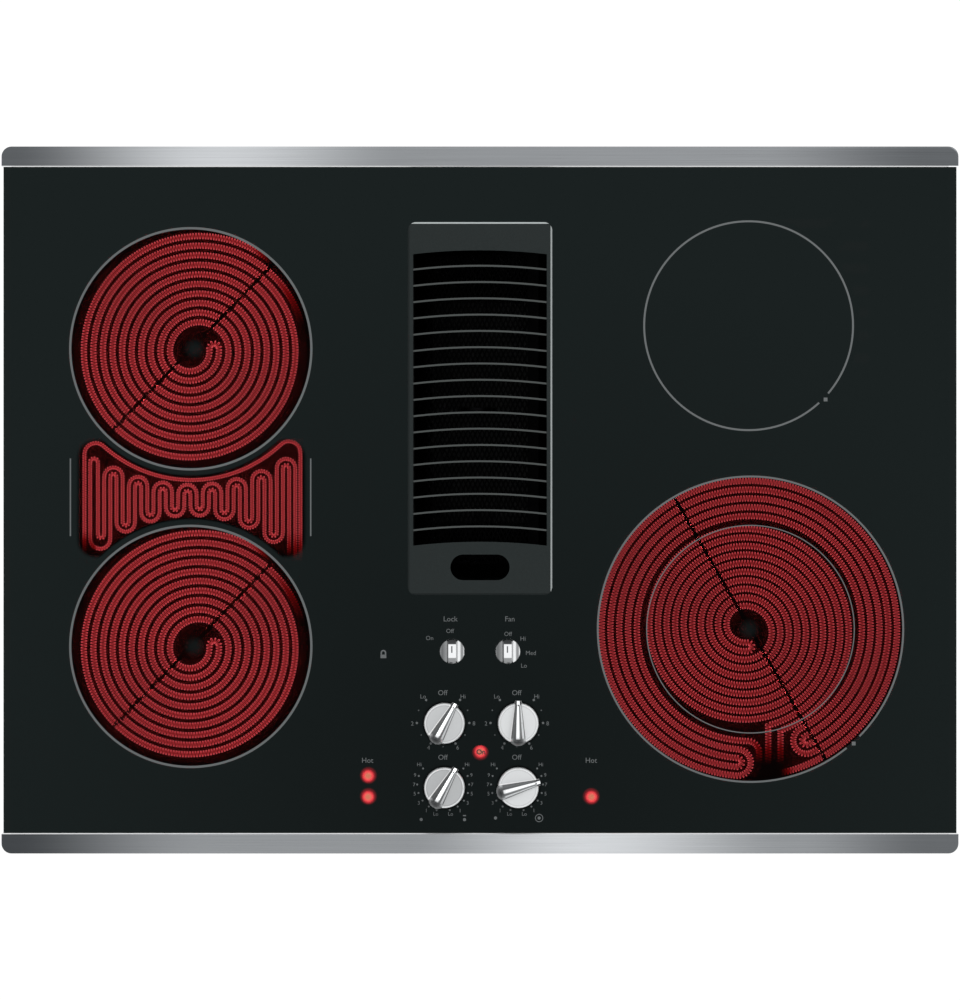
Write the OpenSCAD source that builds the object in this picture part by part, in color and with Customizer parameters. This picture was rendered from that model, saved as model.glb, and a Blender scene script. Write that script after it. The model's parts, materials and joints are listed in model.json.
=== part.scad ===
// Electric cooktop with a centre downdraft vent, five ribbon elements under one sheet of glass.
// Millimetres. Z is up and Y runs to the back. The origin is the plan centre of the top, on
// the worktop surface that the rim gasket rests on.

/* [Top] */
// Width over the two metal trims
top_w = 758.8; // [745:0.2:775]
// Depth over the two metal trims
top_d = 560.6; // [556:0.2:575]
// Thickness of the glass
glass_t = 4; // [3:0.5:6]
// Rounding of the long side edges of the glass
glass_edge = 0.9; // [0.3:0.1:1.4]
// How far each trim reaches in over the glass
trim_reach = 16.2; // [12:0.2:20]
// Thickness of the trim metal
trim_t = 1.2; // [0.8:0.1:2]
// Plan radius of the outer trim corners
trim_r = 8; // [5:0.5:11]
// Radius of the rolled upper edge of the trims
trim_roll = 1; // [0.3:0.1:1.1]
// Bevel along the inner edge of the trims
trim_bevel = 0.8; // [0.3:0.1:1]
// Thickness of the foam gasket under the rim
gasket_t = 1.6; // [1:0.2:3]
// Width of the foam gasket
gasket_w = 8; // [5:0.5:9]

/* [Burner box] */
// Width of the worktop cut-out
cut_w = 727; // [722:0.5:729]
// Depth of the worktop cut-out
cut_d = 527; // [523:0.5:529]
// Gap between the box and each edge of the cut-out
cut_gap = 4; // [2:0.5:6]
// Thickness of the worktop that the clamps reach under
worktop_t = 38; // [30:1:44]
// Depth of the box below the worktop surface
box_h = 78; // [74:0.5:92]
// Thickness of the box and bracket sheet
sheet_t = 1.2; // [0.8:0.1:1.6]
// Plan radius of the box corners
box_r = 6; // [3:0.5:12]
// Width of the rim flange beyond the box wall
flange_reach = 13.2; // [12.6:0.2:14]

/* [Vent grille] */
// How far behind the plan centre the vent lies
vent_y = 72.5; // [66:0.5:76]
// Width of the grille
grille_w = 114.4; // [110:0.2:118]
// Length of the grille
grille_l = 295.4; // [288:0.2:300]
// Corner radius of the grille
grille_r = 6.5; // [3:0.5:9]
// Height of the grille above the glass
grille_h = 4.4; // [3:0.2:7]
// Chamfer round the top of the grille
grille_chamfer = 1.3; // [0.5:0.1:2]
// How far the grille rests on the glass beyond the opening
grille_rest = 2; // [1.5:0.1:3]
// Depth of the skirt that drops into the opening
skirt_h = 12; // [8:1:16]
// Thickness of the skirt
skirt_t = 1.5; // [1:0.1:2]
// Number of curved bars
bar_n = 17; // [10:1:19]
// Thickness of a bar
bar_t = 1.4; // [1:0.1:2.4]
// Depth of a bar
bar_h = 13; // [8:1:14]
// Rise of each bar at its middle
bar_rise = 3.1; // [1:0.1:6]
// Solid margin behind the bars
rear_margin = 22.3; // [16:0.1:28]
// Length of the solid panel in front of the bars
front_panel = 42.1; // [38:0.1:50]
// Length of the finger hole
finger_w = 47; // [36:1:60]
// Width of the finger hole
finger_d = 20.4; // [16:0.2:24]

/* [Grease filter] */
// Width of the filter along its slant
filter_w = 128; // [120:1:130]
// Thickness of the filter
filter_t = 10; // [8:0.5:11]
// Slant of the filter
filter_slant = 39; // [38:1:44]
// Depth of the filter's middle below the worktop surface
filter_drop = 63; // [61:0.5:68]
// Width of the filter's edge channel
filter_rim = 11; // [8:0.5:14]

/* [Left elements] */
// How far left of the centre both left elements lie
left_x = 229.3; // [226:0.1:232]
// How far behind the centre the left rear element lies
left_rear_y = 119.9; // [119:0.1:124]
// How far before the centre the left front element lies
left_front_y = 116.1; // [115:0.1:120]
// Outer radius of a left element's dish
left_dish_r = 101.2; // [100.9:0.1:102]
// Spacing of the heating ribbon's turns
left_pitch = 7.6; // [7:0.05:7.65]
// Radius of the ribbon's innermost turn
left_inner_r = 15.7; // [14:0.1:16]
// Half width of the bridge zone's dish
bridge_half_w = 93; // [91:0.5:94]
// Spacing of the bridge ribbon's legs
bridge_pitch = 9.8; // [9.4:0.04:9.84]

/* [Right elements] */
// How far right of the centre the right rear element lies
right_rear_x = 213; // [205:0.1:218]
// How far behind the centre the right rear element lies
right_rear_y = 138.2; // [136:0.1:150]
// Outer radius of the right rear dish
right_rear_dish_r = 88; // [85:0.1:89]
// How far right of the centre the right front element lies
right_front_x = 214.5; // [210:0.1:218]
// How far before the centre the right front element lies
right_front_y = 102.4; // [101:0.1:110]
// Outer radius of the right front dish
right_front_dish_r = 127; // [124:0.1:128]
// Spacing of the right front inner ribbon's turns
inner_pitch = 6.8; // [6.2:0.05:6.85]
// Spacing of the right front outer ribbon's turns
outer_pitch = 7; // [6.4:0.05:7.2]
// Radius of the outer ribbon's first turn
outer_first_r = 89.4; // [89:0.1:90]

/* [Heating ribbon and dish] */
// Width of the corrugated ribbon in the round elements
ribbon_w = 5.2; // [4:0.1:5.6]
// Width of the corrugated ribbon in the bridge zone
bridge_ribbon_w = 3.2; // [2:0.1:3.4]
// Height of the ribbon
ribbon_h = 5; // [3:0.5:6.5]
// Gap between the top of the ribbons and the glass
ribbon_gap = 8.6; // [7.5:0.1:10]
// Thickness of the insulation under the ribbons
insulation_t = 12; // [8:0.5:16]
// Thickness of the dish sheet
dish_t = 1.2; // [0.8:0.1:1.4]
// Width of the insulation wall round an element
wall_w = 2.6; // [2:0.1:3]
// Diameter of the limiter rod
limiter_d = 3; // [2.4:0.1:4]

/* [Controls] */
// How far left of the centre the left knobs stand
knob_left_x = 28.2; // [25:0.1:32]
// How far right of the centre the right knobs stand
knob_right_x = 30.3; // [25:0.1:32]
// How far before the centre the rear knobs stand
knob_rear_y = 177; // [174:0.5:180]
// How far before the centre the front knobs stand
knob_front_y = 228; // [224:0.5:230]
// Diameter of an element knob
knob_d = 32.4; // [30:0.1:35]
// Height of an element knob
knob_h = 20; // [17:0.5:24]
// Half width of the grip at its blunt end
grip_back = 6.4; // [6:0.1:6.8]
// Half width of the grip at its pointer end
grip_tip = 2.2; // [1.8:0.1:2.6]
// Travel of a knob when it is pushed to unlock it
push_travel = 2.5; // [2:0.1:3]
// Diameter of a control shaft
shaft_d = 6; // [5:0.1:7]
// Radial running clearance of the shafts
shaft_fit = 0.05; // [0.03:0.01:0.08]
// How far to each side of the centre the small knobs stand
small_x = 22; // [20:0.1:24]
// How far before the centre the small knobs stand
small_y = 120; // [117:0.5:124]
// Diameter of a small knob
small_d = 20.3; // [19:0.1:22]
// Height of a small knob
small_h = 15; // [13:0.5:18]
// Width of the grip bar on a small knob
small_grip = 8.6; // [6:0.2:10]
// Depth of a switch body
switch_h = 33; // [31:0.5:38]

/* [Blower] */
// Depth of the plenum below the worktop surface
plenum_h = 286; // [280:1:296]
// Thickness of the plenum and blower sheet
duct_sheet = 1.2; // [0.8:0.1:1.4]
// Depth of the blower's axis below the worktop surface
blower_drop = 198; // [196:1:204]
// Outer radius of the blower wheel
wheel_r = 75; // [68:0.5:78]
// Width of the blower wheel
wheel_w = 64; // [54:1:66]
// Number of blades
blade_n = 36; // [20:1:44]
// Radial length of a blade
blade_l = 13; // [9:0.5:16]
// Gap between the wheel and the scroll where it starts
scroll_gap = 9; // [7:0.5:11]
// Growth of the scroll's radius in one turn
scroll_growth = 40; // [32:1:46]
// Width of the scroll housing
scroll_w = 84; // [80:1:90]
// Diameter of the motor
motor_d = 92; // [80:1:100]
// Length of the motor
motor_l = 58; // [46:1:66]
// Diameter of the motor shaft
motor_shaft_d = 8; // [6:0.1:10]
// Outer diameter of the round duct collar
collar_d = 151; // [146:0.5:153]
// Length of the round duct collar
collar_l = 40; // [30:1:52]

/* [Hidden] */
$fn = 64;

// Cutting shapes run this far past the face that they open
past = 1;
// Height of a cut that runs out of the top of everything
tall = 99;
// Two loose pieces of one assembly lie this far apart
seat_gap = 0.3;

// Levels of the stack that rests on the worktop
flange_top = gasket_t + sheet_t;
glass_bottom = flange_top;
glass_top_z = glass_bottom + glass_t;
trim_top_z = glass_top_z + trim_t;
box_floor = -box_h;
floor_top = box_floor + sheet_t;

// Sizes in plan of the box, its flange and the glass
box_w = cut_w - 2 * cut_gap;
box_d = cut_d - 2 * cut_gap;
flange_w = box_w + 2 * flange_reach;
flange_d = box_d + 2 * flange_reach;
glass_w = top_w - 2 * (trim_t + seat_gap);
glass_d = top_d - 2 * (trim_t + seat_gap);

// The vent opening, the grille's skirt in it and the bars
throat_w = grille_w - 2 * grille_rest;
throat_l = grille_l - 2 * grille_rest;
skirt_gap = 0.7;
skirt_w = throat_w - 2 * skirt_gap;
skirt_l = throat_l - 2 * skirt_gap;
louvre_w = skirt_w - 2 * skirt_t;
louvre_rear = grille_l / 2 - rear_margin;
louvre_front = -grille_l / 2 + front_panel;
bar_r = (louvre_w * louvre_w / 4 + bar_rise * bar_rise) / (2 * bar_rise);
bar_pitch = (louvre_rear - louvre_front + bar_t) / (bar_n + 1);
finger_y = -grille_l / 2 + front_panel * 0.518;

// Levels inside an element, from the glass down
ribbon_top = glass_bottom - ribbon_gap;
ribbon_foot = ribbon_top - ribbon_h;
insulation_bottom = ribbon_foot - insulation_t;
dish_bottom = insulation_bottom - dish_t;
dish_top = glass_bottom - 2;
limiter_z = (ribbon_top + glass_bottom) / 2;
limiter_clear = 0.6;

// Places of the elements
left_rear_at = [-left_x, left_rear_y];
left_front_at = [-left_x, -left_front_y];
right_rear_at = [right_rear_x, right_rear_y];
right_front_at = [right_front_x, -right_front_y];
left_limiter_turn = 46;
right_limiter_turn = -60;
limiter_head = [30, 18, 16];

// The bridge zone between the left elements
bridge_rear = 53;
bridge_front = -76;
bridge_wall = 3;
bridge_cavity_half = bridge_half_w - dish_t - bridge_wall;
divider_r = left_dish_r + 0.6;

// The plenum and the blower beside it
plenum_w = throat_w + 2 * duct_sheet;
plenum_l = throat_l + 2 * duct_sheet;
throat_gasket_t = 1.5;
plenum_top = glass_bottom - throat_gasket_t;
plenum_lip = 7;
plenum_foot = 12;
plenum_shoulder = -120;
plenum_base_l = 185;
blower_z = -blower_drop;
blower_x = plenum_w / 2;
inlet_d = 2 * (wheel_r - blade_l) + 6;
scroll_r0 = wheel_r + scroll_gap;
scroll_end = 270;
scroll_r1 = scroll_r0 + scroll_growth * scroll_end / 360;
tongue_y = 12;
outlet_z = blower_z - scroll_r0 - 20;
outlet_l = scroll_r1 - tongue_y;
outlet_y = vent_y + tongue_y + outlet_l / 2;
outlet_x = blower_x + scroll_w / 2;
wheel_x = blower_x + (scroll_w - wheel_w) / 2;
outlet_ear = 14;
transition_h = 50;
collar_top = outlet_z - transition_h;
motor_x = blower_x + scroll_w + 5;
motor_hole_d = 60;

// Levels of the control stack
plate_top = -10;
plate_bottom = plate_top - sheet_t;
switch_bottom = plate_bottom - switch_h;
bush_d = 9.4;
bush_top = plate_top + 6;
nut_t = 3;
nut_flats = 13;
cup_d = 14;
cup_h = 8;
cavity_top = plate_bottom - 8.3;
collar_h = 1.4;
collar_d_shaft = 9.6;
collar_top_z = cavity_top - 1;
cup_top = collar_top_z - collar_h - seat_gap;
cup_bottom = cup_top - cup_h;
cavity_bottom = cup_bottom - push_travel - 5.5;
knob_z = glass_top_z + push_travel + 0.8;
knob_disc_h = 7.5;
small_disc_h = 5;
// The grip's rounded back, the lean of its flanks and the rise of its tip above the disc
grip_round = 7.5;
grip_lean = 4;
tip_rise = 3.4;
small_z = glass_top_z + 0.8;
bore_depth = 12;
glass_hole_d = shaft_d + 3;
switch_w = 38;
switch_l = 35;
small_switch = [29, 26, 24];

// Rest angles of the pointers, clockwise from the rear
left_rear_turn = 29;
right_rear_turn = 0;
left_front_turn = 30;
right_front_turn = 74.5;

// Places of the knobs
left_rear_knob_at = [-knob_left_x, -knob_rear_y];
right_rear_knob_at = [knob_right_x, -knob_rear_y];
left_front_knob_at = [-knob_left_x, -knob_front_y];
right_front_knob_at = [knob_right_x, -knob_front_y];
lock_at = [-small_x, -small_y];
fan_at = [small_x, -small_y];
big_places = [left_rear_knob_at, right_rear_knob_at, left_front_knob_at, right_front_knob_at];

// Lamps: place and lens diameter
lamp_places = [[-88.4, -218.8], [-88.4, -235.5], [88.4, -235.5], [0.3, -202], [-76.6, -122.1]];
lamp_d = 11.2;
lamp_flange = 2;

// The junction box below the left rear corner of the box
junction_size = [110, 76, 42];
junction_at = [-245, 198];
junction_sheet = 1.2;
connector_d = 22;
connector_bore = 16;
connector_z = box_floor - junction_size[2] / 2;

// Clamps that hold the box to the worktop
clamp_y = [-150, 150];
clamp_w = 30;
clamp_t = 2;
clamp_reach = 18;
clamp_z = -box_h + 6;
clamp_screw_d = 5;

// Screws
screw_d = 4;
screw_l = 8;
screw_head_d = 8;
screw_head_h = 2.4;
screw_clear = 0.4;
foot_screws = [for (x = [-1, 1], y = [-1, 0, 1])
  [x * (plenum_w / 2 + plenum_foot / 2), vent_y + y * plenum_l * 0.4]];

// Outline helpers

// A rectangle with round corners
module round_rect(w, d, r) {
  square([w - 2 * r, d], center = true);
  square([w, d - 2 * r], center = true);
  for (x = [-1, 1], y = [-1, 1])
    translate([x * (w / 2 - r), y * (d / 2 - r)]) circle(r);
}

// A flat plate from one level to another
module plate(w, d, r, z0, z1) {
  translate([0, 0, z0]) linear_extrude(z1 - z0) round_rect(w, d, r);
}

// A slot with round ends along X
module slot(l, w) {
  square([l - w, w], center = true);
  for (x = [-1, 1]) translate([x * (l - w) / 2, 0]) circle(w / 2);
}

// Lays a profile drawn in X and Z along Y, centred
module along_y(l) {
  rotate([90, 0, 0]) linear_extrude(l, center = true) children();
}

// Lays a profile drawn in Y and Z along X, from x0
module along_x(x0, l) {
  translate([x0, 0, 0]) rotate([90, 0, 90]) linear_extrude(l) children();
}

// Top

// Cross-section of a trim, with its outer face on zero and its metal inwards
module trim_section(reach) {
  difference() {
    union() {
      translate([-reach, glass_top_z]) square([reach, trim_t]);
      translate([-trim_t, gasket_t]) square([trim_t, trim_top_z - gasket_t]);
    }
    translate([-trim_roll, trim_top_z - trim_roll]) difference() {
      square(trim_roll + past);
      circle(trim_roll);
    }
  }
}

// Cross-section of the long front of a trim, with the bevel at its inner edge
module trim_front_section() {
  difference() {
    trim_section(trim_reach);
    translate([-trim_reach, trim_top_z]) rotate(45) square(trim_bevel * sqrt(2), center = true);
  }
}

module trim() {
  long = top_w / 2 - trim_r;
  edge = top_d / 2;
  translate([0, edge, 0]) rotate([90, 0, 90]) linear_extrude(2 * long, center = true)
    trim_front_section();
  for (side = [0, 1]) mirror([side, 0, 0]) {
    translate([long, edge - trim_r, 0]) rotate_extrude(angle = 90)
      translate([trim_r, 0]) trim_section(trim_r);
    translate([top_w / 2, edge - (trim_reach + trim_r) / 2, 0]) along_y(trim_reach - trim_r)
      trim_section(trim_r);
  }
}

module rear_trim() {
  color("silver") trim();
}

module front_trim() {
  color("silver") mirror([0, 1, 0]) trim();
}

// Cross-section of the glass with its two rounded side edges
module glass_section() {
  r = glass_edge;
  translate([0, glass_bottom]) {
    translate([0, glass_t / 2]) square([glass_w, glass_t - 2 * r], center = true);
    translate([0, glass_t / 2]) square([glass_w - 2 * r, glass_t], center = true);
    for (x = [-1, 1], z = [r, glass_t - r]) translate([x * (glass_w / 2 - r), z]) circle(r);
  }
}

module glass_top() {
  color([0.1, 0.13, 0.13]) difference() {
    intersection() {
      along_y(glass_d) glass_section();
      plate(glass_w, glass_d, trim_r - trim_t - seat_gap, glass_bottom, glass_top_z);
    }
    translate([0, vent_y, 0])
      plate(throat_w, throat_l, grille_r - grille_rest, glass_bottom - past, glass_top_z + past);
    for (p = concat(big_places, [lock_at, fan_at]))
      translate([p[0], p[1], glass_bottom - past]) cylinder(d = glass_hole_d, h = glass_t + 2 * past);
  }
}

module rim_gasket() {
  color("dimgray") linear_extrude(gasket_t) difference() {
    round_rect(flange_w, flange_d, box_r);
    round_rect(flange_w - 2 * gasket_w, flange_d - 2 * gasket_w, box_r / 2);
  }
}

// Burner box

// Cooling slots in the floor, one row
module slot_row(x, y, n, step, l, w) {
  for (i = [0 : n - 1])
    translate([x, y + (i - (n - 1) / 2) * step, box_floor - past]) linear_extrude(sheet_t + 2 * past)
      slot(l, w);
}

module burner_box() {
  side_slot_z = floor_top + 16;
  color("gainsboro") difference() {
    union() {
      plate(box_w, box_d, box_r, box_floor, gasket_t);
      plate(flange_w, flange_d, box_r, gasket_t, flange_top);
    }
    plate(box_w - 2 * sheet_t, box_d - 2 * sheet_t, box_r - sheet_t, floor_top, flange_top + past);
    translate([0, vent_y, 0])
      plate(plenum_w + 1, plenum_l + 1, seat_gap, box_floor - past, floor_top + past);
    slot_row(-left_x, -left_front_y, 9, 18, 120, 7);
    slot_row(-left_x, 60, 5, 18, 120, 7);
    slot_row(right_front_x + 45, -right_front_y, 9, 18, 110, 7);
    slot_row(right_rear_x + 55, right_rear_y + 30, 7, 18, 90, 7);
    for (i = [-5 : 5], z = [0, 14])
      translate([0, i * 40, side_slot_z + z]) cube([box_w + 2 * past, 26, 5], center = true);
    for (p = foot_screws)
      translate([p[0], p[1], box_floor - past]) cylinder(d = screw_d + screw_clear, h = sheet_t + 2 * past);
    translate([junction_at[0], junction_at[1], box_floor - past]) cylinder(d = 28, h = sheet_t + 2 * past);
  }
}

// A channel that carries the dishes of one side
module element_rail(x) {
  rail_w = 40;
  rail_h = 12;
  inner = box_d - 2 * sheet_t - 2 * seat_gap;
  foot_l = 26;
  color("lightgray") translate([x, 0, 0]) {
    translate([0, 0, dish_bottom - rail_h]) difference() {
      translate([-rail_w / 2, -inner / 2, 0]) cube([rail_w, inner, rail_h]);
      translate([-rail_w / 2 + sheet_t, -inner / 2 - past, -past])
        cube([rail_w - 2 * sheet_t, inner + 2 * past, rail_h + past - sheet_t]);
      for (i = [-4 : 4])
        translate([0, i * 50, rail_h / 2]) cylinder(d = 16, h = rail_h);
    }
    for (y = [-1, 1]) {
      translate([0, y * (inner - sheet_t) / 2, (floor_top + dish_bottom - sheet_t) / 2])
        cube([rail_w - 2 * sheet_t, sheet_t, dish_bottom - sheet_t - floor_top], center = true);
      translate([0, y * (inner - foot_l) / 2, floor_top + sheet_t / 2])
        cube([rail_w - 2 * sheet_t, foot_l, sheet_t], center = true);
    }
  }
}

module left_element_rail() {
  element_rail(-left_x);
}

module right_element_rail() {
  element_rail(right_front_x);
}

// Elements

// A hole along a limiter rod's line through a dish wall
module limiter_way(at, turn, r, d) {
  translate([at[0], at[1], limiter_z]) rotate(turn) rotate([0, 90, 0])
    cylinder(d = d, h = 2 * r + 6, center = true);
}

// A round pressed dish
module round_dish(at, r, turn) {
  color("gainsboro") difference() {
    translate([at[0], at[1], dish_bottom]) cylinder(r = r, h = dish_top - dish_bottom);
    translate([at[0], at[1], insulation_bottom]) cylinder(r = r - dish_t, h = tall);
    limiter_way(at, turn, r, limiter_d + 2 * limiter_clear);
  }
}

module left_rear_dish() {
  round_dish(left_rear_at, left_dish_r, left_limiter_turn);
}

module right_rear_dish() {
  round_dish(right_rear_at, right_rear_dish_r, left_limiter_turn);
}

module right_front_dish() {
  round_dish(right_front_at, right_front_dish_r, right_limiter_turn);
}

// Outline of the left front dish and the bridge zone behind it, drawn in by an inset
module bridge_outline(inset) {
  half = bridge_half_w - inset;
  difference() {
    union() {
      translate(left_front_at) circle(left_dish_r - inset);
      translate([-left_x - half, bridge_front]) square([2 * half, bridge_rear - inset - bridge_front]);
    }
    translate(left_rear_at) circle(left_dish_r + seat_gap);
  }
}

module left_front_dish() {
  color("gainsboro") difference() {
    translate([0, 0, dish_bottom]) linear_extrude(dish_top - dish_bottom) bridge_outline(0);
    translate([0, 0, insulation_bottom]) linear_extrude(tall) bridge_cut();
    limiter_way(left_front_at, left_limiter_turn, left_dish_r, limiter_d + 2 * limiter_clear);
  }
}

// The inside of that dish, which is open along the rear dish
module bridge_cut() {
  half = bridge_half_w - dish_t;
  translate(left_front_at) circle(left_dish_r - dish_t);
  translate([-left_x - half, bridge_front])
    square([2 * half, bridge_rear - dish_t - bridge_front]);
}

// Ceramic fibre in a round dish: a base and a wall that meets the glass
module round_insulation(at, r, turn) {
  outer = r - dish_t;
  difference() {
    translate([at[0], at[1], insulation_bottom]) cylinder(r = outer, h = glass_bottom - insulation_bottom);
    translate([at[0], at[1], ribbon_foot]) cylinder(r = outer - wall_w, h = tall);
    limiter_way(at, turn, r, limiter_d + 2 * limiter_clear);
  }
}

// Ceramic fibre in the left front dish, with a divider between the element and the bridge zone
module bridge_insulation() {
  difference() {
    translate([0, 0, insulation_bottom]) linear_extrude(glass_bottom - insulation_bottom)
      bridge_outline(dish_t);
    translate([left_front_at[0], left_front_at[1], ribbon_foot])
      cylinder(r = left_dish_r - dish_t - wall_w, h = tall);
    translate([0, 0, ribbon_foot]) linear_extrude(tall) difference() {
      translate([-left_x - bridge_cavity_half, bridge_front])
        square([2 * bridge_cavity_half, bridge_rear - dish_t - bridge_wall - bridge_front]);
      translate(left_front_at) circle(divider_r);
    }
    limiter_way(left_front_at, left_limiter_turn, left_dish_r, limiter_d + 2 * limiter_clear);
  }
}

module element_insulation() {
  color("whitesmoke") {
    round_insulation(left_rear_at, left_dish_r, left_limiter_turn);
    bridge_insulation();
    round_insulation(right_rear_at, right_rear_dish_r, left_limiter_turn);
    round_insulation(right_front_at, right_front_dish_r, right_limiter_turn);
  }
}

// A limiter: a rod over the ribbons and a ceramic switch head outside the dish
module limiter(at, turn, r) {
  head_gap = 1.5;
  translate([at[0], at[1], limiter_z]) rotate(turn) {
    rotate([0, 90, 0]) translate([0, 0, -r + 4]) cylinder(d = limiter_d, h = 2 * r - 4 + head_gap);
    translate([r + head_gap, -limiter_head[1] / 2, -limiter_head[2] + limiter_d])
      cube([limiter_head[0], limiter_head[1], limiter_head[2]]);
    for (y = [-5, 5])
      translate([r + head_gap + limiter_head[0], y - 3, -6]) cube([8, 6, 0.8]);
  }
}

module element_limiters() {
  color("linen") {
    limiter(left_rear_at, left_limiter_turn, left_dish_r);
    limiter(left_front_at, left_limiter_turn + 180, left_dish_r);
    limiter(right_rear_at, left_limiter_turn, right_rear_dish_r);
    limiter(right_front_at, right_limiter_turn, right_front_dish_r);
  }
}

// Heating ribbons. A route is a list of pieces in order: an arc is [centre, radius, from, to],
// with how much wider it is where its neighbours run into it, and a straight run is [start, end].

function arc_point(c, r, a) = c + r * [cos(a), sin(a)];

// A straight run at x from one height to another
function run(x, y0, y1) = [[x, y0], [x, y1]];

// Rounds to hundredths, so that neighbours meet exactly
function cent(v) = round(v * 100) / 100;

// Where neighbours meet at a slant, one is wider and the other runs this far into it
lap_more = 0.1;
lap = 0.3;
function lap_angle(r) = lap / r * 180 / PI;

function route_points(route, step) = [
  for (s = route)
    if (is_num(s[1]))
      let (n = ceil(abs(s[3] - s[2]) * s[1] * PI / 180 / step))
      for (i = [0 : n]) arc_point(s[0], s[1], s[2] + (s[3] - s[2]) * i / n)
    else
      let (n = ceil(norm(s[1] - s[0]) / step))
      for (i = [0 : n]) s[0] + (s[1] - s[0]) * i / n
];

// Smallest distance between the middles of two stretches that do not follow on each other
function least_gap(points, skip) = min([
  for (i = [0 : len(points) - 1])
    for (j = [i + skip : 1 : len(points) - 1]) norm(points[i] - points[j])
]);

// Walks a route with a strip of width w that stands on the insulation
module strip(name, route, w) {
  step = 3;
  skip = 5;
  echo(str(name, " least gap"), least_gap(route_points(route, step), skip) - w);
  color("firebrick") translate([0, 0, ribbon_foot]) for (s = route) {
    if (is_num(s[1])) {
      on_axis = s[2] % 90 == 0;
      start = on_axis ? s[2] : s[3];
      sweep = on_axis ? s[3] - s[2] : s[2] - s[3];
      wide = w + (len(s) == 5 ? s[4] : 0);
      translate([s[0][0], s[0][1], 0]) rotate(start) mirror([0, sweep < 0 ? 1 : 0, 0])
        rotate_extrude(angle = abs(sweep)) translate([s[1] - wide / 2, 0]) square([wide, ribbon_h]);
    } else {
      way = s[1] - s[0];
      translate([s[0][0], s[0][1], 0]) rotate(atan2(way[1], way[0]))
        translate([0, -w / 2, 0]) cube([norm(way), w, ribbon_h]);
    }
  }
}

// A double spiral of half circles that winds in, turns back in a hairpin hook at its centre and
// winds out beside itself. n half turns a side, even; the outer and the inner free end stop at
// the two angles of stops.
function spiral(c, p, r1, n, rise, stops) = concat(
  [for (j = [0 : n - 1])
    let (r = r1 + (n - j) * p)
    j % 2 == 0
      ? [c + [p / 2, 0], r, j == 0 ? stops[0] : 0, 180]
      : [c - [p / 2, 0], r, 180, 360]],
  [[c + [r1 + p / 2, 0], c + [r1 + p / 2, rise]]],
  [[c + [r1, rise], p / 2, 0, 180]],
  [[c + [r1 - p / 2, rise], c + [r1 - p / 2, 0]]],
  [for (j = [0 : n - 1])
    let (r = r1 + j * p)
    j % 2 == 0
      ? [c - [p / 2, 0], r, 360, 180]
      : [c + [p / 2, 0], r, 180, j == n - 1 ? stops[1] : 0]]
);

// Turns a route a quarter turn clockwise about a point
function turned(route, c) = [
  for (s = route)
    len(s) == 4 ? [c + quarter(s[0] - c), s[1], s[2] - 90, s[3] - 90]
      : [c + quarter(s[0] - c), c + quarter(s[1] - c)]
];
function quarter(v) = [v[1], -v[0]];

spiral_n = 10;
left_shift = [2.4, -1.9];
left_rise = 2.5;
left_stops = [50, 12];

module left_rear_ribbon() {
  strip("left_rear_ribbon",
    spiral(left_rear_at + left_shift, left_pitch, left_inner_r, spiral_n, left_rise, left_stops), ribbon_w);
}

module left_front_ribbon() {
  strip("left_front_ribbon",
    spiral(left_front_at + left_shift, left_pitch, left_inner_r, spiral_n, left_rise, left_stops), ribbon_w);
}

right_rear_n = 8;
right_rear_inner_r = 13;
module right_rear_ribbon() {
  strip("right_rear_ribbon",
    spiral(right_rear_at, left_pitch, right_rear_inner_r, right_rear_n, left_rise, left_stops), ribbon_w);
}

// The inner ribbon of the right front element, whose two leads run straight to the front
inner_shift = [-4.1, 0.3];
inner_r1 = 14.6;
inner_centre = right_front_at + inner_shift;
inner_big_r = inner_r1 + spiral_n * inner_pitch;
inner_rise = 2.5;
inner_leads = [18.6, 28.4];
lead_reach = 109;
lead_end_y = right_front_at[1] - lead_reach;
corner_up = 0.5 * ribbon_w;

// The end angle of the turn of radius r whose lead runs down at dx from the spiral's centre
function lead_angle(r, dx) = -acos(dx / r);

module right_front_inner_ribbon() {
  c = inner_centre;
  turns = turned(spiral(c, inner_pitch, inner_r1, spiral_n, inner_rise, [0, 0]), c);
  half = c - [0, inner_pitch / 2];
  last = len(turns) - 1;
  a_out = lead_angle(inner_big_r, inner_leads[1]);
  a_in = lead_angle(inner_big_r - inner_pitch, inner_leads[0]);
  p_out = arc_point(half, inner_big_r, a_out);
  p_in = arc_point(half, inner_big_r - inner_pitch, a_in);
  strip("right_front_inner_ribbon", concat(
    [run(p_out[0], lead_end_y, p_out[1] + corner_up), [half, inner_big_r, a_out, 90]],
    [for (i = [1 : last - 1]) turns[i]],
    [[half, inner_big_r - inner_pitch, 90, a_in], run(p_in[0], p_in[1] + corner_up, lead_end_y)]
  ), ribbon_w);
}

// The outer ribbon of the right front element: five lanes and four nested hairpins at the front
outer_centre = right_front_at + [-0.5, 0.3];
outer_left_a = -95;
outer_right_a = -63;
outer_lead_a = -78;
outer_lead_x = 7.7;
outer_bend = 9;

function lane_r(k) = outer_first_r + k * outer_pitch;

// A hairpin between lanes i and j at an angle, swept on the side away from the lanes
function hairpin(i, j, a, from, to) = [
  arc_point(outer_centre, (lane_r(i) + lane_r(j)) / 2, a), abs(lane_r(j) - lane_r(i)) / 2,
  a + from, a + to, lap_more
];

// Lane k from one angle up to another, each moved out by its lap where a hairpin follows
function lane_arc(k, low, high, laps) = [
  outer_centre, lane_r(k), low - laps[0] * lap_angle(lane_r(k)), high + laps[1] * lap_angle(lane_r(k))
];

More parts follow.
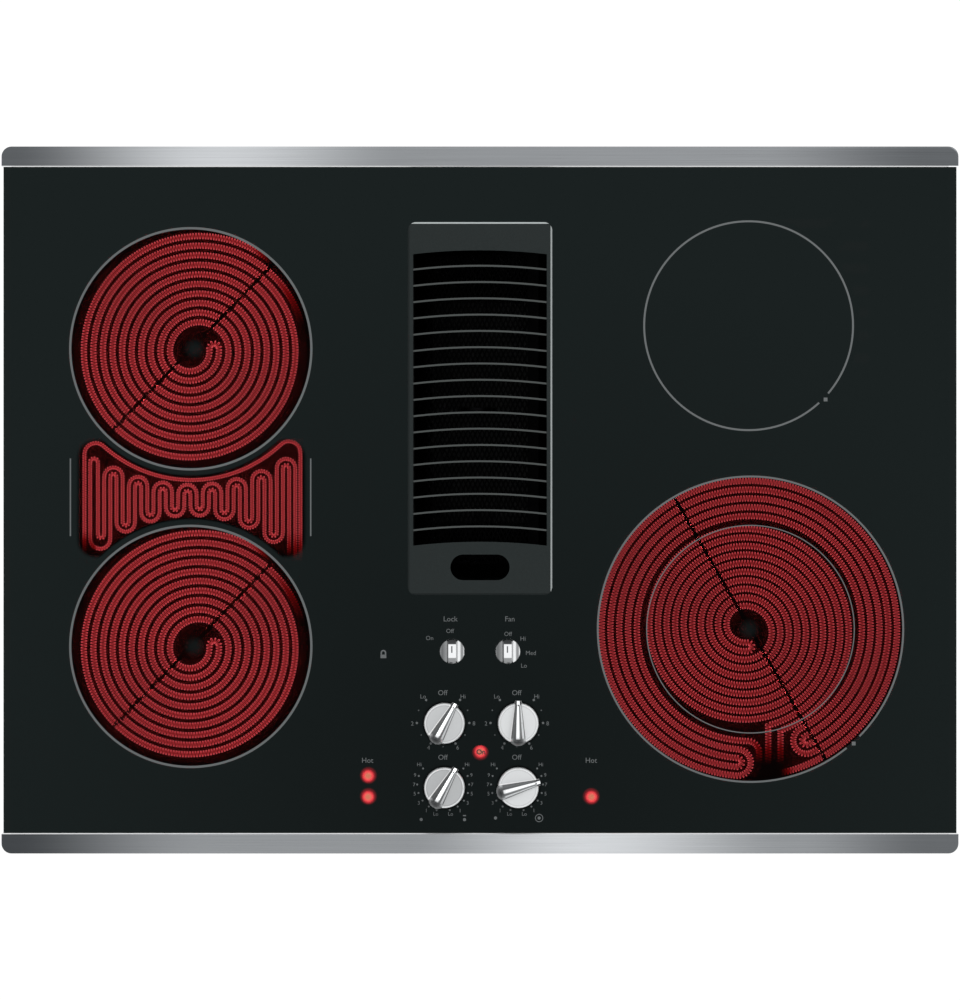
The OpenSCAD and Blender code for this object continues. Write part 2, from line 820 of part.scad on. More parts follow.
module right_front_outer_ribbon() {
  c = outer_centre;
  left = outer_left_a;
  right = outer_right_a;
  turn = 360 + left;
  bend_a = -acos((outer_lead_x - outer_bend) / (lane_r(0) + outer_bend));
  bend_mid = arc_point(c, lane_r(0) + outer_bend, bend_a);
  bend = [cent(bend_mid[0]), cent(bend_mid[1])];
  strip("right_front_outer_ribbon", [
    run(bend[0] + outer_bend, lead_end_y, bend[1]),
    [bend, outer_bend, 0, 180 + bend_a, lap_more],
    lane_arc(0, right, 360 + bend_a, [1, 1]),
    hairpin(0, 3, right, 180, 360),
    lane_arc(3, right, turn, [1, 1]),
    hairpin(3, 2, left, 0, 180),
    lane_arc(2, right, turn, [1, 1]),
    hairpin(2, 1, right, 360, 180),
    lane_arc(1, right, turn, [1, 1]),
    hairpin(1, 4, left, 180, 0),
    lane_arc(4, outer_lead_a, turn, [0, 1])
  ], ribbon_w);
}

// The bridge ribbon: a band along the rear element, then two lanes side by side that wind
// between the elements in eight tall turns and join in a hairpin at the left
bridge_last_x = -149.2;
bridge_leg_n = 16;
bridge_band_left = -314.3;
bridge_band_right = -142.7;
bridge_band_r = left_dish_r + 2.8;
bridge_bend = 9;
bridge_crown_y = 4.9;
bridge_crown_r = 148;
bridge_lead_y = -46;
bridge_clear = 0.5;
lane = bridge_pitch / 4;
foot_r = divider_r + bridge_clear + 3 * lane + bridge_ribbon_w / 2;
hairpin_pitch = 6.2;
hairpin_top_y = 30;
hairpin_foot_y = -27.8;

// Place of lane s of leg j, and the middle of legs j and j + 1
function lane_x(j, s) = bridge_last_x - j * bridge_pitch + s * lane;
function pair_x(j) = bridge_last_x - (j + 0.5) * bridge_pitch;

// Centre heights of the turns over and under legs j and j + 1
function crown_y(j) = cent(bridge_crown_y + bridge_crown_r
  - sqrt(pow(bridge_crown_r, 2) - pow(pair_x(j) + left_x, 2)));
function foot_y(j) = cent(left_front_at[1] + sqrt(pow(foot_r, 2) - pow(pair_x(j) + left_x, 2)));

// Centre of the bend that leads from an outer leg into the band
function bend_at(x, side) = let (dx = x + side * bridge_bend + left_x)
  [x + side * bridge_bend, cent(left_rear_y - sqrt(pow(bridge_band_r + bridge_bend, 2) - dx * dx))];

// The way out: up leg j in its right lane, over and down the next leg in its left lane
function lane_out(j) = [
  run(lane_x(j, 1), j == 0 ? bridge_lead_y : foot_y(j - 1), crown_y(j)),
  [[pair_x(j), crown_y(j)], 3 * lane, 0, 180],
  run(lane_x(j + 1, -1), crown_y(j), j + 2 == bridge_leg_n ? hairpin_foot_y : foot_y(j + 1)),
  if (j + 2 < bridge_leg_n) [[pair_x(j + 1), foot_y(j + 1)], lane, 360, 180]
];

// The way back: up leg j + 1 in its right lane, over and down leg j in its left lane
function lane_back(j, y0) = [
  run(lane_x(j + 1, 1), y0, crown_y(j)),
  [[pair_x(j), crown_y(j)], lane, 180, 0],
  run(lane_x(j, -1), crown_y(j), j == 0 ? bridge_lead_y : foot_y(j - 1)),
  if (j > 0) [[pair_x(j - 1), foot_y(j - 1)], 3 * lane, 180, 360]
];

module bridge_ribbon() {
  lb = bend_at(bridge_band_left, 1);
  rb = bend_at(bridge_band_right, -1);
  la = atan2(lb[1] - left_rear_y, lb[0] + left_x);
  ra = atan2(rb[1] - left_rear_y, rb[0] + left_x);
  end_r = (bridge_band_right - lane_x(0, 1)) / 2;
  last = bridge_leg_n - 2;
  near_x = lane_x(last + 1, -1) - 2 * lane;
  far_x = near_x - hairpin_pitch;
  back_r = (lane_x(last + 1, 1) - far_x) / 2;
  back_r_clear = divider_r + bridge_clear + back_r + bridge_ribbon_w / 2;
  back_x = far_x + back_r;
  back_y = cent(left_front_at[1] + sqrt(pow(back_r_clear, 2) - pow(back_x + left_x, 2)));
  more_a = lap_angle(bridge_bend);
  strip("bridge_ribbon", concat(
    [
      run(bridge_band_left, bridge_lead_y, lb[1]),
      [lb, bridge_bend, 180, la + 180 - more_a],
      [left_rear_at, bridge_band_r, la, ra, lap_more],
      [rb, bridge_bend, 0, ra + 180 + more_a],
      run(bridge_band_right, rb[1], bridge_lead_y),
      [[bridge_band_right - end_r, bridge_lead_y], end_r, 360, 180]
    ],
    [for (j = [0 : 2 : last]) each lane_out(j)],
    [
      [[near_x + lane, hairpin_foot_y], lane, 360, 180],
      run(near_x, hairpin_foot_y, hairpin_top_y),
      [[near_x - hairpin_pitch / 2, hairpin_top_y], hairpin_pitch / 2, 0, 180],
      run(far_x, hairpin_top_y, back_y),
      [[back_x, back_y], back_r, 180, 360]
    ],
    [for (j = [last : -2 : 0]) each lane_back(j, j == last ? back_y : foot_y(j + 1))]
  ), bridge_ribbon_w);
}

// Controls

// The bracket below the glass that carries the switches and lamps
module control_bracket() {
  half = 58;
  leg_y0 = -201;
  leg_l = 56;
  foot = 14;
  color("lightgray") difference() {
    union() {
      translate([0, 0, plate_bottom]) linear_extrude(sheet_t) {
        translate([-half, -252]) square([2 * half, 156]);
        translate([-100, -246]) square([200, 38]);
        translate([-88, -136]) square([88, 28]);
      }
      for (x = [-1, 1]) {
        translate([x * (half - sheet_t / 2), leg_y0 + leg_l / 2, (floor_top + plate_top) / 2])
          cube([sheet_t, leg_l, plate_top - floor_top], center = true);
        translate([x * (half + foot / 2 - sheet_t / 2), leg_y0 + leg_l / 2, floor_top + sheet_t / 2])
          cube([foot + sheet_t, leg_l, sheet_t], center = true);
      }
    }
    for (p = concat(big_places, [lock_at, fan_at]))
      translate([p[0], p[1], plate_bottom - past]) cylinder(d = bush_d + 0.6, h = sheet_t + 2 * past);
  }
}

// The body of a push-to-turn switch: a case, a threaded bush and flat terminals
module push_switch(at) {
  color("saddlebrown") translate([at[0], at[1], 0]) difference() {
    union() {
      plate(switch_w, switch_l, 3, switch_bottom, plate_bottom);
      translate([0, 0, plate_bottom]) cylinder(d = bush_d, h = bush_top - plate_bottom);
      for (x = [-12, -4, 4, 12], y = [-8, 8])
        translate([x - 3.15, y - 0.4, switch_bottom - 8]) cube([6.3, 0.8, 8 + past]);
    }
    translate([0, 0, cavity_bottom]) cylinder(d = cup_d + 2 * shaft_fit, h = cavity_top - cavity_bottom);
    translate([0, 0, cavity_top - past])
      cylinder(d = shaft_d + 2 * shaft_fit, h = bush_top - cavity_top + 2 * past);
  }
}

module left_rear_switch() {
  push_switch(left_rear_knob_at);
}

module right_rear_switch() {
  push_switch(right_rear_knob_at);
}

module left_front_switch() {
  push_switch(left_front_knob_at);
}

module right_front_switch() {
  push_switch(right_front_knob_at);
}

// The spring cup slides in the switch and carries the turning shaft by its collar
module spring_cup(at) {
  color("ivory") translate([at[0], at[1], cup_bottom]) difference() {
    cylinder(d = cup_d, h = cup_h);
    translate([0, 0, -past]) cylinder(d = shaft_d + 2 * shaft_fit, h = cup_h + 2 * past);
    translate([0, 0, -past]) difference() {
      cylinder(d = cup_d - 2.4, h = cup_h / 2 + past);
      cylinder(d = shaft_d + 2.4, h = cup_h / 2 + past);
    }
  }
}

module left_rear_spring_cup() {
  spring_cup(left_rear_knob_at);
}

module right_rear_spring_cup() {
  spring_cup(right_rear_knob_at);
}

module left_front_spring_cup() {
  spring_cup(left_front_knob_at);
}

module right_front_spring_cup() {
  spring_cup(right_front_knob_at);
}

// A shaft with a flat at its top and a collar above the level of its carrier
module control_shaft(at, turn, foot, collar_z, top) {
  flat_l = bore_depth - 2;
  color("goldenrod") translate([at[0], at[1], 0]) rotate(-turn) difference() {
    union() {
      translate([0, 0, foot]) cylinder(d = shaft_d, h = top - foot);
      translate([0, 0, collar_z]) cylinder(d = collar_d_shaft, h = collar_h);
    }
    translate([-shaft_d, shaft_d * 0.3, top - flat_l]) cube([2 * shaft_d, shaft_d, flat_l + past]);
  }
}

module push_shaft(at, turn) {
  control_shaft(at, turn, cup_bottom - 2, cup_top + seat_gap, knob_z + bore_depth - 0.5);
}

module left_rear_shaft() {
  push_shaft(left_rear_knob_at, left_rear_turn);
}

module right_rear_shaft() {
  push_shaft(right_rear_knob_at, right_rear_turn);
}

module left_front_shaft() {
  push_shaft(left_front_knob_at, left_front_turn);
}

module right_front_shaft() {
  push_shaft(right_front_knob_at, right_front_turn);
}

// The blind bore of a knob, with the flat that turns it
module knob_bore(z) {
  translate([0, 0, z - past]) difference() {
    cylinder(d = shaft_d + 2 * shaft_fit, h = bore_depth + past);
    translate([-shaft_d, shaft_d * 0.3 + shaft_fit, 3]) cube([2 * shaft_d, shaft_d, bore_depth]);
  }
}

// The round disc of a knob, with a drafted side and a bevelled edge
module knob_disc(r, h, draft, bevel) {
  rotate_extrude()
    polygon([[0, 0], [r, 0], [r - draft, h - bevel], [r - draft - bevel, h], [0, h]]);
}

// An element knob: a disc and a tapered grip whose ridge slopes down to the pointer
module element_knob(at, turn) {
  color("silver") translate([at[0], at[1], 0]) rotate(-turn) difference() {
    union() {
      translate([0, 0, knob_z]) knob_disc(knob_d / 2, knob_disc_h, 0.5, 0.7);
      translate([0, 0, knob_z + knob_disc_h]) element_grip();
    }
    knob_bore(knob_z);
  }
}

// The tapered grip, from its foot beside the disc to its ridge, about the disc's top
module element_grip() {
  tip_r = knob_d / 2 + 1.8;
  back_y = -knob_d / 2 - 1.4;
  round_y = back_y + grip_round;
  top = knob_h - knob_disc_h;
  foot = 6;
  spare = 0.2;
  taper = atan((grip_back - grip_tip) / (tip_r - back_y));
  lean = atan(grip_lean / top);
  intersection() {
    translate([0, 0, -foot]) cylinder(r = tip_r, h = foot + top);
    difference() {
      translate([0, 0, -foot]) linear_extrude(foot + top) polygon([
        [-grip_tip - spare, tip_r + past], [-grip_back - spare, back_y],
        [grip_back + spare, back_y], [grip_tip + spare, tip_r + past]
      ]);
      for (side = [0, 1]) mirror([side, 0, 0])
        translate([(grip_back + grip_tip) / 2, (tip_r + back_y) / 2, 0])
          rotate(taper) rotate([0, -lean, 0]) translate([0, -knob_d, -foot / 6])
            cube([knob_d, 2 * knob_d, 2 * knob_h]);
      difference() {
        translate([-knob_d, back_y - knob_d, -foot - past])
          cube([2 * knob_d, knob_d + grip_round, foot + top + 2 * past]);
        translate([0, round_y, -foot - 2 * past])
          cylinder(r = grip_round + spare, h = foot + top + 4 * past);
      }
      difference() {
        translate([-knob_d, back_y - knob_d, -past])
          cube([2 * knob_d, knob_d + grip_round, top + 2 * past]);
        translate([0, round_y, 0]) rotate([-lean, 0, 0])
          cylinder(r = grip_round, h = 2 * knob_h, center = true);
      }
      translate([-knob_d, round_y, top]) rotate([-atan((top - tip_rise) / (tip_r - round_y)), 0, 0])
        cube([2 * knob_d, 2 * knob_d, knob_h]);
    }
  }
}

module left_rear_knob() {
  element_knob(left_rear_knob_at, left_rear_turn);
}

module right_rear_knob() {
  element_knob(right_rear_knob_at, right_rear_turn);
}

module left_front_knob() {
  element_knob(left_front_knob_at, left_front_turn);
}

module right_front_knob() {
  element_knob(right_front_knob_at, right_front_turn);
}

// A small rotary switch for the control lock and for the fan
module rotary_switch(at) {
  color("saddlebrown") translate([at[0], at[1], 0]) difference() {
    union() {
      plate(small_switch[0], small_switch[1], 2, plate_bottom - small_switch[2], plate_bottom);
      translate([0, 0, plate_bottom]) cylinder(d = bush_d, h = bush_top - plate_bottom);
      for (x = [-8, 0, 8])
        translate([x - 2.4, -0.4, plate_bottom - small_switch[2] - 7]) cube([4.8, 0.8, 7 + past]);
    }
    translate([0, 0, cavity_top - 8]) cylinder(d = collar_d_shaft + 1, h = 8);
    translate([0, 0, cavity_top - past])
      cylinder(d = shaft_d + 2 * shaft_fit, h = bush_top - cavity_top + 2 * past);
  }
}

module lock_switch() {
  rotary_switch(lock_at);
}

module fan_switch() {
  rotary_switch(fan_at);
}

module small_shaft(at) {
  control_shaft(at, 0, cavity_top - 5, cavity_top - seat_gap - collar_h, small_z + bore_depth - 1.5);
}

module lock_shaft() {
  small_shaft(lock_at);
}

module fan_shaft() {
  small_shaft(fan_at);
}

// A small knob: a disc and a straight grip bar right across it
module small_knob(at) {
  r = small_d / 2;
  bar_top = small_grip / 2 - 1.4;
  color("gainsboro") translate([at[0], at[1], small_z]) difference() {
    union() {
      knob_disc(r, small_disc_h, 0.4, 0.5);
      intersection() {
        knob_disc(r, small_h, 0.8, 1.2);
        rotate([90, 0, 0]) linear_extrude(2 * small_d, center = true) polygon([
          [-small_grip / 2, past], [small_grip / 2, past], [small_grip / 2, small_disc_h],
          [bar_top, small_h + past], [-bar_top, small_h + past], [-small_grip / 2, small_disc_h]
        ]);
      }
    }
    translate([0, 0, -past]) difference() {
      cylinder(d = shaft_d + 2 * shaft_fit, h = bore_depth - 1 + past);
      translate([-shaft_d, shaft_d * 0.3 + shaft_fit, 2]) cube([2 * shaft_d, shaft_d, bore_depth]);
    }
  }
}

module lock_knob() {
  small_knob(lock_at);
}

module fan_knob() {
  small_knob(fan_at);
}

// Lamp holders that stand on the bracket with their lenses just below the glass
module indicator_lamps() {
  color("orangered") for (p = lamp_places) translate([p[0], p[1], plate_top]) {
    cylinder(d = lamp_d + 3, h = lamp_flange);
    cylinder(d = lamp_d, h = glass_bottom - seat_gap - plate_top);
  }
}

// Downdraft

// Side outline of the plenum in Y and Z, drawn in by an inset, with a drawn-in lower part
module plenum_side(inset, z0, z1) {
  half = plenum_l / 2 - inset;
  base = plenum_base_l / 2 - inset;
  polygon([
    [vent_y - half, z1], [vent_y - half, plenum_shoulder], [vent_y - base, z0],
    [vent_y + base, z0], [vent_y + half, plenum_shoulder], [vent_y + half, z1]
  ]);
}

// Ledges that the filter rests on: the low one on the left and the high one on the right
filter_x = filter_w / 2 * cos(filter_slant);
filter_z = filter_w / 2 * sin(filter_slant);
ledge_reach = 9;
ledge_left_z = -filter_drop - filter_z - filter_t / 2 * cos(filter_slant) - seat_gap;
ledge_right_x = throat_w / 2 - ledge_reach;
ledge_right_z = -filter_drop + tan(filter_slant) * ledge_right_x
  - filter_t / 2 / cos(filter_slant) - seat_gap;
ledge_l = throat_l - 2 * seat_gap - 30;

module plenum() {
  color("gray") difference() {
    union() {
      difference() {
        union() {
          along_x(-plenum_w / 2, plenum_w) plenum_side(0, -plenum_h, plenum_top - duct_sheet);
          translate([0, vent_y, 0])
            plate(plenum_w + 2 * plenum_lip, plenum_l + 2 * plenum_lip, grille_r,
              plenum_top - duct_sheet, plenum_top);
          translate([0, vent_y, 0])
            plate(plenum_w + 2 * plenum_foot, plenum_l + 2 * plenum_foot, grille_r,
              floor_top, floor_top + duct_sheet);
        }
        along_x(-throat_w / 2, throat_w)
          plenum_side(duct_sheet, -plenum_h + duct_sheet, plenum_top + past);
      }
      translate([-throat_w / 2 - duct_sheet / 2, vent_y - ledge_l / 2, ledge_left_z - duct_sheet])
        cube([ledge_reach + duct_sheet / 2 + 6, ledge_l, duct_sheet]);
      translate([ledge_right_x, vent_y - ledge_l / 2, ledge_right_z - duct_sheet])
        cube([ledge_reach + duct_sheet / 2, ledge_l, duct_sheet]);
    }
    translate([blower_x - duct_sheet - past, vent_y, blower_z]) rotate([0, 90, 0])
      cylinder(d = inlet_d + 4, h = duct_sheet + 2 * past);
    for (p = foot_screws)
      translate([p[0], p[1], floor_top - past])
        cylinder(d = screw_d + screw_clear, h = duct_sheet + 2 * past);
  }
}

module throat_gasket() {
  color("dimgray") translate([0, vent_y, plenum_top]) linear_extrude(throat_gasket_t) difference() {
    round_rect(plenum_w + 2 * plenum_lip, plenum_l + 2 * plenum_lip, grille_r);
    round_rect(plenum_w, plenum_l, grille_r - grille_rest);
  }
}

// Radius of the scroll at an angle that runs from its foot, round the front and top, to the rear
function scroll_r(a) = scroll_r0 + scroll_growth * a / 360;

// Side outline of the scroll in Y and Z about the blower's axis, with its outlet downwards
module scroll_outline(inset) {
  step = 10;
  polygon(concat(
    [for (a = [0 : step : scroll_end]) (scroll_r(a) - inset) * [-sin(a), -cos(a)]],
    [[scroll_r1 - inset, outlet_z - blower_z - past * sign(inset)],
     [tongue_y + inset, outlet_z - blower_z - past * sign(inset)]]
  ));
}

module at_blower() {
  translate([0, vent_y, blower_z]) children();
}

module blower_housing() {
  color("darkgray") at_blower() difference() {
    union() {
      along_x(blower_x, scroll_w) scroll_outline(0);
      translate([outlet_x, outlet_y - vent_y, outlet_z - blower_z]) linear_extrude(duct_sheet)
        square([scroll_w, outlet_l + 2 * outlet_ear], center = true);
    }
    along_x(blower_x + duct_sheet, scroll_w - 2 * duct_sheet) scroll_outline(duct_sheet);
    translate([blower_x - past, 0, 0]) rotate([0, 90, 0]) cylinder(d = inlet_d, h = duct_sheet + 2 * past);
    translate([blower_x + scroll_w - duct_sheet - past, 0, 0]) rotate([0, 90, 0])
      cylinder(d = motor_hole_d, h = duct_sheet + 2 * past);
  }
}

// One forward-curved blade: the sliver between two circles, inside the wheel's blade ring
module blade() {
  curve_r = blade_l * 1.1;
  blade_t = 1;
  translate([wheel_r - blade_l / 2 - 1.2, -curve_r * 0.86]) difference() {
    circle(curve_r);
    circle(curve_r - blade_t);
  }
}

module blower_wheel() {
  rim_t = 2;
  disc_t = 2;
  hub_d = 22;
  hub_l = 26;
  ring_w = 3;
  color("dimgray") at_blower() translate([wheel_x, 0, 0]) rotate([0, 90, 0]) difference() {
    union() {
      intersection() {
        translate([0, 0, rim_t / 2]) linear_extrude(wheel_w - rim_t / 2 - disc_t / 2)
          for (i = [0 : blade_n - 1]) rotate(i * 360 / blade_n) intersection() {
            blade();
            translate([wheel_r - blade_l, 0]) square([blade_l, blade_l]);
          }
        cylinder(r = wheel_r - 0.5, h = wheel_w);
      }
      difference() {
        cylinder(r = wheel_r, h = rim_t);
        translate([0, 0, -past]) cylinder(r = wheel_r - blade_l + ring_w, h = rim_t + 2 * past);
      }
      translate([0, 0, wheel_w - disc_t]) cylinder(r = wheel_r, h = disc_t);
      translate([0, 0, wheel_w - hub_l]) cylinder(d = hub_d, h = hub_l);
    }
    translate([0, 0, wheel_w - hub_l - past]) cylinder(d = motor_shaft_d, h = hub_l + 2 * past);
  }
}

module motor_shaft() {
  color("silver") at_blower() translate([wheel_x + wheel_w - 28, 0, 0]) rotate([0, 90, 0])
    cylinder(d = motor_shaft_d, h = motor_x + motor_l - wheel_x - wheel_w + 28 - 8);
}

// The motor: a ribbed case with end bells, carried on three arms by the scroll's outer wall
module blower_motor() {
  arm_w = 14;
  rib_n = 16;
  ring_r = motor_d / 2;
  wall_x = blower_x + scroll_w;
  color("dimgray") at_blower() difference() {
    union() {
      translate([motor_x, 0, 0]) rotate([0, 90, 0]) rotate_extrude() polygon([
        [0, 0], [ring_r - 8, 0], [ring_r - 2, 6], [ring_r - 2, motor_l - 10],
        [ring_r - 10, motor_l], [0, motor_l]
      ]);
      translate([motor_x + 8, 0, 0]) rotate([0, 90, 0]) for (i = [0 : rib_n - 1])
        rotate(i * 360 / rib_n) translate([ring_r - 3, -1, 0]) cube([3, 2, motor_l - 22]);
      for (a = [90, 210, 330]) rotate([a, 0, 0]) {
        translate([wall_x, ring_r - 12, -arm_w / 2]) cube([motor_x - wall_x + 10, 12, arm_w]);
        translate([wall_x, ring_r - 12, -arm_w / 2]) cube([2, 30, arm_w]);
      }
    }
    translate([motor_x - past, 0, 0]) rotate([0, 90, 0])
      cylinder(d = motor_shaft_d + 2 * shaft_fit, h = motor_l - 8 + past + 0.5);
  }
}

// A square-to-round transition below the scroll's outlet
module duct_transition() {
  thin = 1;
  color("darkgray") translate([outlet_x, outlet_y, 0]) {
    difference() {
      hull() {
        translate([0, 0, outlet_z - thin]) linear_extrude(thin)
          square([scroll_w, outlet_l], center = true);
        translate([0, 0, collar_top]) cylinder(d = collar_d, h = thin, $fn = 48);
      }
      hull() {
        translate([0, 0, outlet_z - thin]) linear_extrude(thin + past)
          square([scroll_w - 2 * duct_sheet, outlet_l - 2 * duct_sheet], center = true);
        translate([0, 0, collar_top - past])
          cylinder(d = collar_d - 2 * duct_sheet, h = thin + past, $fn = 48);
      }
    }
    translate([0, 0, outlet_z - duct_sheet]) linear_extrude(duct_sheet) difference() {
      square([scroll_w, outlet_l + 2 * outlet_ear], center = true);
      square([scroll_w - 1, outlet_l - 1], center = true);
    }
  }
}

// The round collar that a house duct slips over, with a stop bead
module duct_collar() {
  bead = 1.6;
  color("silver") translate([outlet_x, outlet_y, collar_top - collar_l]) difference() {
    union() {
      cylinder(d = collar_d, h = collar_l, $fn = 96);
      translate([0, 0, collar_l - 8]) rotate_extrude($fn = 96)
        translate([collar_d / 2, 0]) circle(bead);
    }
    translate([0, 0, -past]) cylinder(d = collar_d - 2 * duct_sheet, h = collar_l + 2 * past, $fn = 96);
  }
}

// Cross-section of the grille's slab with chamfered upper edges
module chamfered_section(w) {
  c = grille_chamfer;
  polygon([
    [-w / 2, glass_top_z], [w / 2, glass_top_z], [w / 2, glass_top_z + grille_h - c],
    [w / 2 - c, glass_top_z + grille_h], [-w / 2 + c, glass_top_z + grille_h],
    [-w / 2, glass_top_z + grille_h - c]
  ]);
}

// Outline of the barred opening, bowed to the rear like the bars
module louvre_outline() {
  intersection() {
    square([louvre_w, grille_l], center = true);
    difference() {
      translate([0, louvre_rear - bar_r]) circle(bar_r, $fn = 180);
      translate([0, louvre_front - bar_r]) circle(bar_r, $fn = 180);
    }
  }
}

// One bowed bar, before it is cut to the width of the opening
module bar_outline(i) {
  crown = louvre_front + i * bar_pitch;
  translate([0, crown - bar_r]) difference() {
    circle(bar_r, $fn = 180);
    circle(bar_r - bar_t, $fn = 180);
  }
}

module vent_grille() {
  top = glass_top_z + grille_h;
  color([0.16, 0.19, 0.19]) translate([0, vent_y, 0]) {
    difference() {
      union() {
        intersection() {
          plate(grille_w, grille_l, grille_r, glass_top_z, top);
          along_y(grille_l) chamfered_section(grille_w);
          along_x(-grille_w / 2, grille_w) chamfered_section(grille_l);
        }
        plate(skirt_w, skirt_l, grille_r - grille_rest, glass_top_z - skirt_h, glass_top_z);
      }
      translate([0, 0, glass_top_z - skirt_h - past]) linear_extrude(tall) louvre_outline();
      plate(louvre_w, skirt_l - 2 * skirt_t, grille_r - grille_rest - skirt_t,
        glass_top_z - skirt_h - past, glass_top_z + 1);
      translate([0, finger_y, glass_top_z - past]) linear_extrude(tall) slot(finger_w, finger_d);
    }
    translate([0, 0, top - 0.8 - bar_h]) linear_extrude(bar_h) intersection() {
      square([louvre_w + 0.6, grille_l], center = true);
      union() for (i = [1 : bar_n]) bar_outline(i);
    }
  }
}

// The filter's slanted frame of edge channels
module at_filter() {
  translate([0, vent_y, -filter_drop]) rotate([0, -filter_slant, 0]) children();
}

filter_l = throat_l - 22;

module grease_filter() {
  handle = 26;
  color("silver") at_filter() {
    difference() {
      cube([filter_w, filter_l, filter_t], center = true);
      cube([filter_w - 2 * filter_rim, filter_l - 2 * filter_rim, filter_t + past], center = true);
      cube([filter_w - 2, filter_l - 2, filter_t - 2], center = true);
    }
    translate([0, 0, filter_t / 2]) rotate([90, 0, 0]) difference() {
      cylinder(d = handle, h = 3, center = true);
      cylinder(d = handle - 6, h = 5, center = true);
      translate([0, -handle / 2 - 0.5, 0]) cube([2 * handle, handle, 9], center = true);
    }
    for (s = [-1, 1]) translate([s * (handle / 2 - 1.5), 0, 0])
      cube([3, 3, filter_t + 1], center = true);
  }
}

module filter_mesh() {
  color("lightgray") at_filter() difference() {
    cube([filter_w - 2.6, filter_l - 2.6, filter_t - 2.6], center = true);
    for (s = [-1, 1]) translate([s * 11.5, 0, 0]) cube([3.6, 3.6, filter_t + past], center = true);
  }
}

// Electrical connection

module junction_box() {
  s = junction_size;
  color("gainsboro") difference() {
    translate([junction_at[0], junction_at[1], box_floor - s[2] / 2]) cube(s, center = true);
    translate([junction_at[0], junction_at[1], box_floor - s[2] / 2 - junction_sheet])
      cube([s[0] - 2 * junction_sheet, s[1] - 2 * junction_sheet, s[2]], center = true);
    translate([junction_at[0], junction_at[1], box_floor - 2 * junction_sheet])
      cylinder(d = 28, h = 4 * junction_sheet);
    translate([junction_at[0] - s[0] / 2 - past, junction_at[1], connector_z]) rotate([0, 90, 0])
      cylinder(d = connector_d + 0.6, h = junction_sheet + 2 * past);
  }
}

module junction_cover() {
  s = junction_size;
  color("gainsboro") translate([junction_at[0], junction_at[1], box_floor - s[2] - seat_gap]) {
    translate([0, 0, -junction_sheet / 2]) cube([s[0] + 2, s[1] + 2, junction_sheet], center = true);
    for (y = [-1, 1]) translate([0, y * (s[1] / 2 - junction_sheet - 1.2), 3])
      cube([s[0] - 12, 1.2, 8], center = true);
  }
}

module terminal_block() {
  at = [junction_at[0] + 14, junction_at[1], box_floor - junction_sheet];
  block = [54, 26, 18];
  color("black") translate(at) difference() {
    translate([0, 0, -block[2] / 2]) cube(block, center = true);
    for (x = [-16, 0, 16], y = [-7, 7])
      translate([x, y, -block[2] - past]) cylinder(d = 8, h = 8);
    for (x = [-16, 0, 16]) translate([x, 0, -block[2] + 1]) cube([10, 40, 6], center = true);
  }
}

// The clamp connector that a flexible conduit is fixed in
module conduit_connector() {
  flange = 30;
  reach = 26;
  wall_x = junction_at[0] - junction_size[0] / 2;
  color("silver") translate([wall_x, junction_at[1], connector_z]) rotate([0, -90, 0]) difference() {
    union() {
      translate([0, 0, -junction_sheet - 9]) cylinder(d = connector_d, h = junction_sheet + 9 + 2);
      cylinder(d = flange, h = 4);
      translate([0, 0, -junction_sheet - 3.5]) cylinder(d = flange, h = 3.5, $fn = 6);
      cylinder(d = connector_d + 3, h = reach);
      translate([0, connector_d / 2 + 3, reach - 7]) cube([9, 10, 12], center = true);
      translate([0, -connector_d / 2 - 3, reach - 7]) cube([9, 10, 12], center = true);
    }
    translate([0, 0, -20]) cylinder(d = connector_bore, h = 20 + reach + past);
    translate([0, 0, 4]) cylinder(d = connector_d, h = reach);
  }
}

// Fasteners

// Angle brackets outside the box, which the clamp screws stand in
module clamp_brackets() {
  leg = 30;
  color("lightgray") for (side = [0, 1], y = clamp_y) mirror([side, 0, 0])
    translate([box_w / 2, y - clamp_w / 2, clamp_z]) difference() {
      union() {
        cube([clamp_t, clamp_w, leg]);
        cube([clamp_reach, clamp_w, clamp_t]);
      }
      translate([clamp_reach - 8, clamp_w / 2, -past])
        cylinder(d = clamp_screw_d + screw_clear, h = clamp_t + 2 * past);
    }
}

// A pan-head screw that points down from its seat
module screw(seat) {
  translate(seat) {
    cylinder(d = screw_head_d, h = screw_head_h);
    translate([0, 0, -screw_l]) cylinder(d = screw_d, h = screw_l + past);
  }
}

// A clamp screw with its head below the bracket and its foot under the worktop
module clamp_screw() {
  translate([0, 0, clamp_z - 10]) cylinder(d = 10, h = 4, $fn = 6);
  translate([0, 0, clamp_z - 7]) cylinder(d = clamp_screw_d, h = -worktop_t - 4 - clamp_z + 7);
  translate([0, 0, -worktop_t - 5]) cylinder(d = 14, h = 5);
}

module bush_nut() {
  translate([0, 0, plate_top]) difference() {
    cylinder(d = nut_flats / cos(30), h = nut_t, $fn = 6);
    translate([0, 0, -past]) cylinder(d = bush_d + 0.2, h = nut_t + 2 * past);
  }
}

module screws_and_nuts() {
  color("silver") {
    for (p = foot_screws) screw([p[0], p[1], floor_top + duct_sheet]);
    for (side = [0, 1], y = clamp_y) mirror([side, 0, 0])
      translate([box_w / 2 + clamp_reach - 8, y, 0]) clamp_screw();
    for (p = concat(big_places, [lock_at, fan_at])) translate([p[0], p[1], 0]) bush_nut();
  }
}

